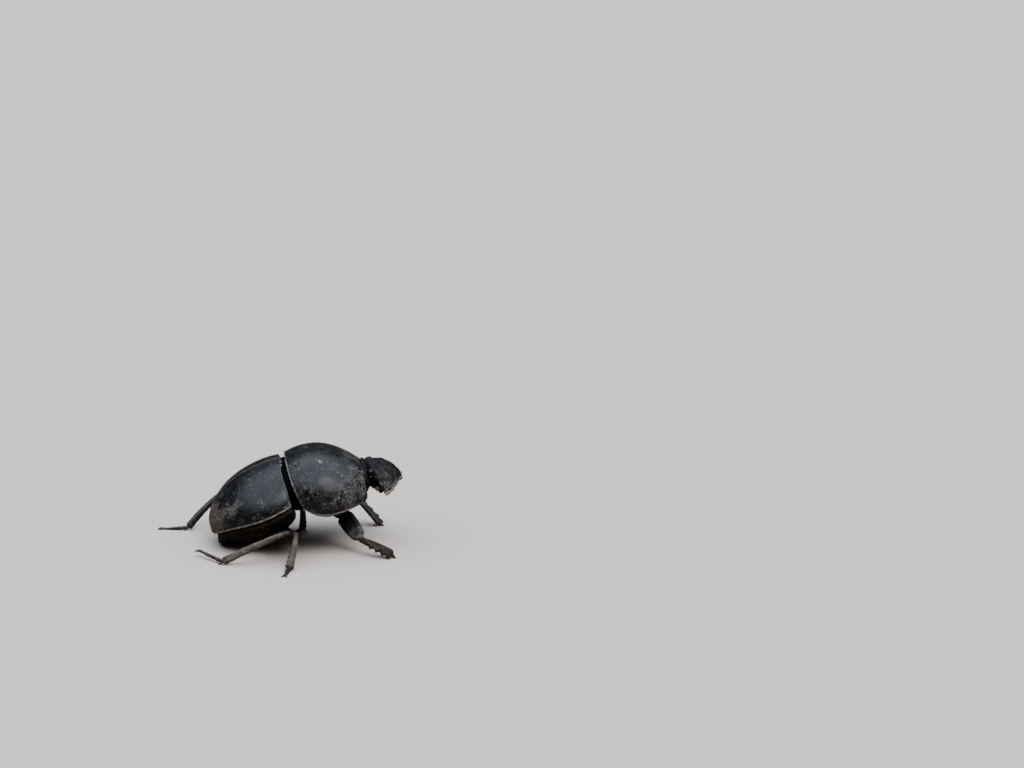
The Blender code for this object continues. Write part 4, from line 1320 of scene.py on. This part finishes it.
def makeHead():
    middle = headSizes["middle"] * headSizes["length"]
    reach = 1.0 - (1.0 - np.linspace(0.0, 1.0, headSizes["rings"])) ** 1.35  # rings crowd towards the rim
    turn = 2 * np.pi * (np.arange(headSizes["spokes"]) + 0.5) / headSizes["spokes"]
    front, side = headOutline(turn)
    p = middle + (front - middle)[None, :] * reach[:, None]
    q = side[None, :] * reach[:, None]
    k = reach[:, None] * np.ones_like(p)
    top = headTop(p, q, k)
    depth = headSizes["rim"] + (headSizes["thickness"] - headSizes["rim"]) * (1.0 - k**2.2)
    depth = depth + headSizes["nape"] * k * np.clip(1.0 - p / middle, 0.0, 1.0)
    away = (1.0 - k) * np.hypot(front - middle, side)[None, :]
    begin, run = headSizes["forward"]
    forward = np.clip((p - begin) / run, 0.0, 1.0)
    spots = np.stack([p, q, np.zeros_like(p)], -1)
    relief, pitted = headRelief(p, q, away, forward, spots)
    close = np.clip(away / headSizes["edgeReach"], 0.0, 1.0)
    rounding = headSizes["edgeRound"] * (1.0 - np.sqrt(1.0 - (1.0 - close) ** 2))
    bottom = top - depth + rounding - 0.08 * bell(away, 0.9, 0.4) + 0.04 * lumps(spots, 1.1, 64)
    upper = np.stack([p, q, top + relief - rounding], -1)
    lower = np.stack([p, q, bottom], -1)
    for sign in (-1, 1):
        socket = np.array(headSizes["eyeAt"]) * np.array((1, sign, 1))
        upper = pushOut(upper, socket, headSizes["socket"])
        lower = pushOut(lower, socket, headSizes["socket"])
    full = np.concatenate([upper, lower[::-1]])
    rows, columns = full.shape[:2]
    clypeus = ramp(p, 4.3, 5.3)
    rimAbove = clypeus * (1 - ramp(away, 0.08, 0.26))
    rimBelow = clypeus * (1 - ramp(away, 0.03, 0.12))
    # The cheeks get more soil than the top of the head; the grey this gives them is a painted reflection.
    cheeks = 0.45 * ramp(np.abs(q) / headSizes["halfWidth"], 0.25, 0.7) * ramp(p, 1.5, 3.5)
    outward = unit(np.stack([p - middle, q, 0 * p], -1) + 1e-9)
    fringe = np.concatenate([np.zeros_like(k), (bell(away, 0.35, 0.25) * forward)[::-1]])
    fields = {
        "rim": np.concatenate([rimAbove, rimBelow[::-1]]),
        "dusty": np.concatenate([0.10 + cheeks + 0.15 * pitted, 0.3 * np.ones_like(k)]),
        **coatFields(full, fringe, np.concatenate([outward, outward[::-1]])),
    }
    fields = {key: value.reshape(rows * columns, -1) for key, value in fields.items()}
    piece = makePiece("headPlate", full, gridFaces(rows, columns, wrapped=True), headFrame, headBlack, fields)
    growCoat("headFringe", piece, "shell", **headSizes["fringe"], seed=31)
    return settle(piece, "shell", "head")


def ballGrid(centre, radii, rows, columns):
    polar = np.pi * np.linspace(0, 1, rows)[:, None]
    turn = 2 * np.pi * np.arange(columns)[None, :] / columns
    level = np.cos(polar) * np.ones_like(turn)
    ball = np.stack([np.sin(polar) * np.cos(turn), np.sin(polar) * np.sin(turn), level], -1)
    return np.array(centre) + ball * np.array(radii), ball


def makeEyes():
    p, q, r = headSizes["eyeAt"]
    for label, side in (("Right", -1), ("Left", 1)):
        grid, _ = ballGrid((p, side * q, r), [headSizes["eyeRadius"]] * 3, 48, 64)
        piece = closedTube("eye" + label, grid, headFrame, eyeGloss, {})
        settle(piece, "eye", "eye_" + label.lower())


makeHead()
makeEyes()


def limbGrid(path, halfWidth, halfDepth, normal, stations, sides, outer=None, square=1.0, ends=(1.0, 1.0)):
    # A flattened tube along a bend, closed at both ends. The across side takes the outer profile.
    start, bend, end = (np.array(point, float) for point in path)
    u = np.linspace(0, 1, stations + 1)
    t = 0.45 * u + 0.55 * (0.5 - 0.5 * np.cos(np.pi * u))
    centre = alongPath((start, bend, end), t)
    heading = unit((bend - start) * (1 - t)[:, None] + (end - bend) * t[:, None])
    across = unit(np.cross(heading, np.array(normal, float)))
    up = np.cross(across, heading)
    length = np.linalg.norm(end - start)
    girth = np.ones_like(t)
    for far, short in ((0, t), (1, 1 - t)):
        radius = (halfWidth(np.array(float(far))) + halfDepth(np.array(float(far)))) / 2 * ends[far]
        near = np.clip(short * length / max(radius, 0.05), 0.0, 1.0)
        girth = girth * np.sqrt(np.clip(1 - (1 - near) ** 2, 0.0, 1.0))
    angle = 2 * np.pi * np.arange(sides) / sides
    c = signedPower(np.cos(angle), square)
    s = signedPower(np.sin(angle), square)
    reach = (halfWidth(t) * girth)[:, None] * c
    if outer is not None:
        reach = reach + (outer(t) * girth)[:, None] * np.where(np.cos(angle) > 0, np.cos(angle) ** 2, 0.0)
    lift = (halfDepth(t) * girth)[:, None] * s
    grid = centre[:, None] + across[:, None] * reach[..., None] + up[:, None] * lift[..., None]
    return grid, t[:, None] * np.ones(sides), angle[None, :] * np.ones(stations + 1)[:, None]


# the size and height of the lumps, then the size and depth of the pits
textures = {
    "clod": (0.35, 0.10, 0.2, 0.05),
    "mouth": (0.6, 0.05, 0.3, 0.03),
    "coxa": (0.9, 0.07, 0.35, 0.03),
    "thigh": (0.9, 0.045, 0.33, 0.022),
    "shin": (1.1, 0.02, 0.3, 0.025),
    "foot": (0.5, 0.02, 0.2, 0.0),
}


def roughened(grid, kind, seed):
    lumpSize, lumpHeight, pitSize, pitDepth = textures[kind]
    normals = gridNormals(grid, wrapped=True)
    centre = grid.mean(1, keepdims=True)
    if np.sum((grid - centre) * normals) < 0:
        normals = -normals
    height = lumpHeight * lumps(grid, lumpSize, seed)
    if pitDepth:
        height = height - pitDepth * (1 - ramp(pits(grid, pitSize, seed + 1), 0.15, 0.5))
    height[0] = height[0].mean()
    height[-1] = height[-1].mean()
    return grid + normals * height[..., None]


def beads(count, radius, waist=0.72):
    # The radius along a limb of round beads.
    def along(t):
        place = (np.asarray(t) * count) % 1.0
        return radius * (waist + (1 - waist) * np.sin(np.pi * np.clip(place, 0.0, 1.0)) ** 0.6)
    return along


mouth = {
    "at": (3.95, 0.0, -4.1),
    "radii": (2.1, 2.7, 1.05),
    "brush": {"template": hair, "perSquareMm": 9.0, "length": 0.5, "shortest": 0.4, "lean": 1.5},
}
# the left side's small limbs under the head
feelers = {
    "antennaStalk": {
        "node": "antenna_stalk_",
        "path": ((4.6, 3.1, -4.35), (4.5, 4.2, -4.4), (3.9, 4.7, -4.1)),
        "width": beads(6, 0.31),
        "depth": beads(6, 0.29),
        "normal": (0, 0, 1),
        "stations": 72,
        "sides": 24,
        "finish": feelerBrown,
        "dust": 0.2,
    },
    "antennaClub": {
        "node": "antenna_club_",
        "path": ((3.3, 4.95, -3.2), (3.35, 5.05, -3.6), (3.5, 5.15, -4.1)),
        "width": lambda t: 0.2 + 0.22 * np.sin(np.pi * t),
        "depth": lambda t: 0.3 + 0 * t,
        "normal": (0, 1, 0.2),
        "stations": 48,
        "sides": 60,
        "finish": clubPale,
        "dust": 0.2,
    },
    "palp": {
        "node": "palp_",
        "path": ((5.95, 1.0, -4.15), (6.5, 1.6, -4.3), (6.95, 1.5, -4.0)),
        "width": beads(3, 0.27, 0.6),
        "depth": beads(3, 0.27, 0.6),
        "normal": (0, 0, 1),
        "stations": 54,
        "sides": 22,
        "finish": feelerBrown,
        "dust": 0.1,
    },
}


def makeMouth():
    grid, ball = ballGrid(mouth["at"], mouth["radii"], 48, 72)
    crease = 0.14 * bell(ball[..., 1], 0.0, 0.06) + 0.12 * bell(np.abs(ball[..., 1]), 0.45, 0.05)
    crease = crease + 0.10 * bell(ball[..., 0], 0.35, 0.06)
    grid = grid - ball * (crease * np.clip(-ball[..., 2] + 0.3, 0, 1))[..., None]
    grid = roughened(grid, "mouth", 71)
    flat = np.zeros(grid.shape[:2])
    brush = coatFields(grid, ramp(-ball[..., 2], -0.2, 0.5), np.array((0.5, 0.0, -0.4)))
    fields = {"rim": flat, "dusty": flat + 0.3, **brush}
    piece = closedTube("mouthparts", grid, headFrame, feelerBrown, fields)
    growCoat("mouthBrush", piece, "underside", **mouth["brush"], seed=32)
    settle(piece, "underside", "mouthparts")


def makeFeeler(prefix, side):
    look = feelers[prefix]
    label = "Right" if side < 0 else "Left"
    path = [np.array(point) * np.array((1.0, side, 1.0)) for point in look["path"]]
    grid, t, angle = limbGrid(
        path, look["width"], look["depth"], look["normal"], look["stations"], look["sides"]
    )
    if prefix == "antennaClub":
        leaf = 0.09 * (np.abs(np.sin(1.5 * angle + 0.5)) < 0.22)  # its three leaves lie folded
        grid = grid - (grid - grid.mean(1, keepdims=True)) * (leaf * 1.6)[..., None]
    fields = {"rim": 0 * t, "dusty": 0 * t + look["dust"]}
    piece = closedTube(prefix + label, grid, headFrame, look["finish"], fields)
    settle(piece, "feeler", look["node"] + label.lower())


makeMouth()
for feelerSide in (-1, 1):
    for feelerPrefix in feelers:
        makeFeeler(feelerPrefix, feelerSide)


print("stage: legs")
# The shins by kind. A bend and a normal are given for the right (-1) and the left (1) side.
shins = {
    "fore": {
        "overlap": 0.5,  # how far it reaches back over the knee
        "bend": {-1: (0.2, -0.5, 0.3), 1: (0.2, 0.5, 0.3)},
        "normal": {-1: (-0.35, -0.15, 1.0), 1: (-0.6, 0.27, -0.71)},
        "width": lambda t: 0.68 + 0.45 * t - 0.10 * bell(t, 0.1, 0.08),
        "depth": lambda t: 0.46 + 0.02 * t,
        "teeth": (0.375, 0.5625, 0.75, 0.94),
        "toothHalf": 0.075,  # half a tooth's width, as a share of the shin's length
        "toothHeight": lambda t: 0.55 + 0.45 * t,
        "toothLean": 0.45,
        "stations": 170,
        "sides": 44,
        "square": 0.86,
        "ends": (1.0, 1.0),
        "finish": shinBrown,
        # On the fore shins the soil thins out towards the tip, which is left darker.
        "dust": lambda t: 0.30 - 0.3 * ramp(t, 0.5, 0.85),
        "bristle": 0.5,
        "spur": {"root": 0.6, "rootAside": 0.0, "ahead": 0.7, "aside": 0.0, "tip": 0.3, "radius": 0.5},
    },
    "mid": {
        "overlap": 0.5,
        "bend": {-1: (0.3, -0.3, 0.2), 1: (0.3, 0.3, 0.2)},
        "normal": {-1: (0.2, -0.9, 0.5), 1: (0.2, 0.9, 0.5)},
        "width": lambda t: 0.48 + 0.38 * t * t - 0.08 * bell(t, 0.1, 0.08),
        "depth": lambda t: 0.43 + 0.12 * t,
        "teeth": (np.arange(5) + 2.2) / 7.4,
        "toothHalf": 0.03,
        "toothHeight": lambda t: 0.08 + 0.05 * t,
        "toothLean": 0.35,
        "stations": 150,
        "sides": 40,
        "square": 0.82,
        "ends": (1.0, 0.5),
        "finish": shinDustAndPaintedLight,
        "dust": lambda t: 0.7 * (0.30 + 0.30 * ramp(t, 0.1, 0.5)),
        "bristle": 0.42,
        "spur": {"root": 0.45, "rootAside": 0.1, "ahead": 0.9, "aside": 0.7, "tip": 0.32, "radius": 0.32},
    },
    "hind": {
        "overlap": 0.1,
        "bend": {-1: (0.0, -0.4, 0.5), 1: (0.0, 0.4, 2.0)},
        "normal": {-1: (0.0, -1.0, 0.45), 1: (0.0, 1.0, 0.45)},
        "width": lambda t: 0.46 + 0.30 * t - 0.14 * bell(t, 0.05, 0.08),
        "depth": lambda t: 0.43 + 0.08 * t,
        "teeth": (np.arange(9) + 3.0) / 12,
        "toothHalf": 0.022,
        "toothHeight": lambda t: 0.07 + 0.03 * np.sin(40 * t),
        "toothLean": 0.35,
        "stations": 190,
        "sides": 40,
        "square": 0.82,
        "ends": (0.5, 0.5),
        "finish": shinDustAndPaintedLight,
        # 0.30 to 0.60 is the shin's soil; the added 0.25 is painted sunlight that makes the near hind shin
        # paler.
        "dust": lambda t: 0.25 + (0.30 + 0.30 * ramp(t, 0.1, 0.5)),
        "bristle": 0.36,
        "spur": {"root": 0.45, "rootAside": 0.1, "ahead": 0.9, "aside": -0.25, "tip": 0.32, "radius": 0.32},
    },
}
farShinDust = 0.15
legCoats = {
    "thigh": {"template": hair, "perSquareMm": 3.0, "length": 0.34, "shortest": 0.4, "lean": 1.3},
    "shin": {"template": spine, "perSquareMm": 9.0, "shortest": 0.5, "lean": 1.5},
    "foot": {"template": spine, "perSquareMm": 12.0, "length": 0.27, "shortest": 0.5, "lean": 1.2},
}
foot = {
    "radius": 0.42,
    "joints": (0.0, 0.25, 0.43, 0.58, 0.71, 1.0),  # shares of the foot's length
    "taper": (1.12, 0.34),  # the girth at the ankle and how much of it is lost towards the toe
    "sag": 0.12,
    "dust": 0.3,
}
claw = {
    "length": 1.1,
    "radius": 0.24,
    "ahead": 0.76,  # of the length
    "aside": 0.42,
    "drop": 0.5,
    "lowest": 0.36,
    "root": 0.25,
    "rootAside": 0.08,
}


def teeth(t, places, half, height, lean):
    # The height of a row of teeth at places along a limb. Each leans towards the limb's end.
    total = np.zeros_like(t)
    for place in places:
        rise = np.clip((t - place + half) / (half * (1 + lean)), 0.0, 1.0)
        fall = np.clip((place + half - t) / (half * (1 - lean)), 0.0, 1.0)
        total = np.maximum(total, np.minimum(rise, fall) ** 1.2)
    return height * total


def legFields(grid, t, angle, dusty, share):
    return {"rim": 0 * t, "dusty": dusty * (0.9 + 0.1 * np.sin(5.0 * angle)), **coatFields(grid, share)}


def pieceName(prefix, label):
    return prefix + label[0].upper() + label[1:]


def makeThigh(label, node):
    kind = legKind(label)
    side = legSide(label)
    width = thigh["halfWidth"][kind]
    depth = thigh["halfDepth"][kind]
    normal = (0, 0, 1) if kind != "fore" else (-0.5, -0.3 * side, 0.6)

    def swell(t):
        body = 0.6 + 0.4 * np.sin(np.pi * np.minimum(1.0, 0.25 + 0.75 * t)) ** 0.8
        return body * (1 - 0.25 * bell(t, 0.93, 0.05)) * (1 - 0.15 * bell(t, 0.06, 0.05))

    grid, t, angle = limbGrid(
        thighPath(label), lambda t: width * swell(t), lambda t: depth * swell(t), normal, 96, 56, square=0.86
    )
    grid = roughened(grid, "thigh", 80 + len(label))
    base, more, low, high = thigh["dust"][kind]
    share = 0.08 + np.abs(np.cos(angle)) ** 10
    fields = legFields(grid, t, angle, base + more * ramp(t, low, high), share)
    piece = closedTube(pieceName("thigh", label), grid, stanceFrame, thighBlack, fields)
    name = pieceName("thighHair", label)
    growCoat(name, piece, "leg", **legCoats["thigh"], seed=41)
    return settle(piece, "leg", "femur_" + node)


def makeCoxa(label, node):
    kind = legKind(label)
    grid, _ = ballGrid(legs[label]["hip"], thigh["coxa"][kind], 44, 56)
    grid = roughened(grid, "coxa", 90 + len(label))
    flat = np.zeros(grid.shape[:2])
    fields = {"rim": flat, "dusty": flat + 0.25}
    piece = closedTube(pieceName("coxa", label), grid, stanceFrame, thighBlack, fields)
    return settle(piece, "leg", "coxa_" + node)


def joinGrids(name, grids, place, material, fieldsList):
    # One piece of several closed grids. A field that a later grid lacks is 0 there.
    faces = []
    fields = {}
    first = 0
    for grid, extra in zip(grids, fieldsList):
        rows, columns = grid.shape[:2]
        faces.append(gridFaces(rows, columns, wrapped=True, first=first))
        for key, example in fieldsList[0].items():
            values = extra.get(key, np.zeros((rows, columns) + example.shape[2:]))
            fields.setdefault(key, []).append(values.reshape(rows * columns, -1))
        first += rows * columns
    points = np.concatenate([grid.reshape(-1, 3) for grid in grids])
    joined = {key: np.concatenate(values) for key, values in fields.items()}
    return makePiece(name, points, np.concatenate(faces), place, material, joined)


def thorn(start, end, radius, bow=(0, 0, 0), stations=24, sides=20, blunt=0.12):
    start = np.array(start, float)
    end = np.array(end, float)
    bend = (start + end) / 2 + np.array(bow, float)
    heading = end - start
    normal = (0.1, 0.2, 1) if abs(heading[2]) < 0.9 * np.linalg.norm(heading) else (1, 0.2, 0.1)
    taper = lambda t: radius * (blunt + (1 - blunt) * (1 - t) ** 0.85)
    grid, t, _ = limbGrid((start, bend, end), taper, taper, normal, stations, sides, ends=(0.5, 1.0))
    return grid, {"rim": 0 * t, "dusty": 0.25 + 0 * t}


def makeSpur(ankle, heading, side, size):
    level = unit(np.array((heading[0], heading[1], 0.0)))
    aside = np.array((level[1], -level[0], 0.0)) * -side
    root = ankle - heading * size["root"] + aside * size["rootAside"]
    tip = ankle + level * size["ahead"] + aside * size["aside"]
    return thorn(root, (tip[0], tip[1], size["tip"]), size["radius"])


def makeShin(label, node):
    kind = legKind(label)
    side = legSide(label)
    look = shins[kind]
    knee, ankle = (np.array(legs[label][key]) for key in ("knee", "ankle"))
    heading = unit(ankle - knee)
    start = knee - heading * look["overlap"]
    bend = (start + ankle) / 2 + np.array(look["bend"][side])

    def outer(t):
        return teeth(t, look["teeth"], look["toothHalf"], look["toothHeight"](t), look["toothLean"])

    grid, t, angle = limbGrid(
        (start, bend, ankle), look["width"], look["depth"], look["normal"][side],
        look["stations"], look["sides"], outer, look["square"], look["ends"]
    )
    grid = roughened(grid, "shin", 100 + len(label))
    dusty = look["dust"](t)
    if side > 0 and kind != "fore":
        dusty = farShinDust + 0 * t
    edge = np.abs(np.cos(angle))
    share = 0.10 + edge**12
    if kind == "fore":
        share = 0.10 + np.where(np.cos(angle) < 0, edge**6, 0.3 * edge**8)
    fields = legFields(grid, t, angle, dusty, share * ramp(t, 0.04, 0.14))
    spur, spurFields = makeSpur(ankle, heading, side, look["spur"])
    finish = look["finish"] if side < 0 else footDark
    piece = joinGrids(pieceName("shin", label), [grid, spur], stanceFrame, finish, [fields, spurFields])
    name = pieceName("shinBristles", label)
    growCoat(name, piece, "shin", **legCoats["shin"], length=look["bristle"], seed=42)
    return settle(piece, "shin", "tibia_" + node)


def makeFoot(label, node):
    ankle, toe = (np.array(legs[label][key]) for key in ("ankle", "toe"))
    heading = unit(toe - ankle)
    start = ankle - heading * 0.1
    joints = np.array(foot["joints"])

    def segment(t):
        t = np.clip(np.asarray(t, float), 0.0, 0.99999)
        index = np.searchsorted(joints, t, side="right") - 1
        share = (t - joints[index]) / (joints[index + 1] - joints[index])
        cone = 0.62 + 0.38 * np.clip(share, 0, 1) ** 0.8
        neck = np.clip(np.minimum(share / 0.12, (1 - share) / 0.07), 0.0, 1.0)
        girth, loss = foot["taper"]
        return foot["radius"] * cone * (0.55 + 0.45 * neck**0.5) * (girth - loss * t)

    path = (start, (start + toe) / 2 + np.array((0, 0, -foot["sag"])), toe)
    grid, t, angle = limbGrid(path, segment, lambda t: 0.92 * segment(t), (0, 0, 1), 200, 26)
    grid = roughened(grid, "foot", 120 + len(label))
    share = 0.15 + ramp(-np.sin(angle), 0.2, 0.8)
    fields = legFields(grid, t, angle, foot["dust"] + 0 * t, share)
    piece = closedTube(pieceName("foot", label), grid, stanceFrame, footDark, fields)
    name = pieceName("footBristles", label)
    growCoat(name, piece, "shin", **legCoats["foot"], seed=43)
    settle(piece, "shin", "tarsus_" + node)
    makeClaws(label, toe, heading)


def makeClaws(label, toe, heading):
    across = unit(np.cross(heading, np.array((0.0, 0.0, 1.0))))
    hooks = []
    hookFields = []
    for turn in (-1, 1):
        tip = toe + heading * claw["length"] * claw["ahead"] + across * turn * claw["aside"] * claw["length"]
        tip[2] = max(claw["lowest"], toe[2] - claw["drop"])
        base = toe - heading * claw["root"] + across * turn * claw["rootAside"]
        bow = heading * 0.12 + across * turn * 0.2 + np.array((0, 0, 0.2))
        hook, fields = thorn(base, tip, claw["radius"], bow)
        hooks.append(hook)
        hookFields.append(fields)
    settle(joinGrids(pieceName("claws", label), hooks, stanceFrame, clawHorn, hookFields), "shin")


makeShield()
makeClods("shieldClods", shieldSpot, shield["clods"], stanceFrame)
makeClods("elytronClods", lambda *at: elytronSpot(-1, *at), elytra["clods"], hindFrame)
for legLabel in legs:
    nodeLabel = legKind(legLabel) + "_" + ("right" if legSide(legLabel) < 0 else "left")
    makeCoxa(legLabel, nodeLabel)
    makeThigh(legLabel, nodeLabel)
    makeShin(legLabel, nodeLabel)
    if "toe" in legs[legLabel]:
        makeFoot(legLabel, nodeLabel)


print("stage: floor, light and camera")
studio = {
    "floorHalf": 3.0,
    "floorTone": (0.94, 0.82, 0.71, 1.0),
    "floorBounce": (0.22, 0.17, 0.13, 1.0),  # what the beetle's underside sees of the floor
    "backdrop": (0.79, 0.77, 0.745, 1.0),
    "roomLow": (0.036, 0.034, 0.034, 1.0),
    "roomHigh": (1.40, 1.56, 1.85, 1.0),
    "ceiling": (28.0, 48.0),  # elevations between which the room turns bright
    "distance": 1.0,
    "lens": 185.0,
    "azimuth": -5.0,
    "elevation": 15.0,
    "aimRight": 40.3,
    "aimUp": 30.0,
}


def makeFloor():
    half = studio["floorHalf"]
    mesh = bpy.data.meshes.new("floor")
    corners = [(-half, -half, 0), (half, -half, 0), (half, half, 0), (-half, half, 0)]
    mesh.from_pydata(corners, [], [(0, 1, 2, 3)])
    floor = bpy.data.objects.new("floor", mesh)
    bpy.context.scene.collection.objects.link(floor)
    material, tree, shader = newMaterial("paleFloor")
    path = tree.nodes.new("ShaderNodeLightPath")
    tone = mixColour(tree, path.outputs["Is Camera Ray"], studio["floorBounce"], studio["floorTone"])
    tree.links.new(tone, shader.inputs["Base Color"])
    shader.inputs["Roughness"].default_value = 0.9
    shader.inputs["Specular IOR Level"].default_value = 0.1
    mesh.materials.append(material)


def makeWorld():
    # The camera sees a pale backdrop. Reflections see a room that is dark low down and bluish overhead.
    world = bpy.data.worlds.new("studio")
    world.use_nodes = True
    bpy.context.scene.world = world
    tree = world.node_tree
    tree.nodes.clear()
    seen = tree.nodes.new("ShaderNodeBackground")
    seen.inputs["Color"].default_value = studio["backdrop"]
    room = tree.nodes.new("ShaderNodeBackground")
    split = tree.nodes.new("ShaderNodeSeparateXYZ")
    tree.links.new(tree.nodes.new("ShaderNodeTexCoord").outputs["Generated"], split.inputs[0])
    low, top = (math.sin(math.radians(edge)) for edge in studio["ceiling"])
    high = rampNode(tree, split.outputs["Z"], low, top)
    tree.links.new(mixColour(tree, high, studio["roomLow"], studio["roomHigh"]), room.inputs["Color"])
    path = tree.nodes.new("ShaderNodeLightPath")
    mix = tree.nodes.new("ShaderNodeMixShader")
    out = tree.nodes.new("ShaderNodeOutputWorld")
    tree.links.new(path.outputs["Is Camera Ray"], mix.inputs[0])
    tree.links.new(room.outputs[0], mix.inputs[1])
    tree.links.new(seen.outputs[0], mix.inputs[2])
    tree.links.new(mix.outputs[0], out.inputs[0])


def towards(azimuth, elevation):
    a, e = math.radians(azimuth), math.radians(elevation)
    return Vector((math.sin(a) * math.cos(e), -math.cos(a) * math.cos(e), math.sin(e)))


def facing(name, data, back):
    # An object that looks along its -Z, away from the direction back.
    made = bpy.data.objects.new(name, data)
    made.rotation_mode = "QUATERNION"
    made.rotation_quaternion = back.to_track_quat("Z", "Y")
    bpy.context.scene.collection.objects.link(made)
    return made


def softSun(name, azimuth, elevation, spread, strength, tint):
    light = bpy.data.lights.new(name, "SUN")
    light.energy = strength
    light.angle = math.radians(spread)
    light.color = tint
    facing(name, light, towards(azimuth, elevation))


def makeCamera():
    azimuth = math.radians(studio["azimuth"])
    back = towards(studio["azimuth"], studio["elevation"])
    right = Vector((math.cos(azimuth), math.sin(azimuth), 0.0))
    aim = (stanceOrigin + right * studio["aimRight"] + back.cross(right) * studio["aimUp"]) * mm
    camera = bpy.data.cameras.new("camera")
    camera.lens = studio["lens"]
    camera.sensor_width = 36.0
    camera.clip_start = 0.05
    camera.clip_end = 50.0
    made = facing("camera", camera, back)
    made.location = aim + back * studio["distance"]
    bpy.context.scene.camera = made


makeFloor()
makeWorld()
softSun("keySky", 30.0, 58.0, 35.0, 0.9, (1.0, 0.97, 0.93))
makeCamera()

print("stage: done")
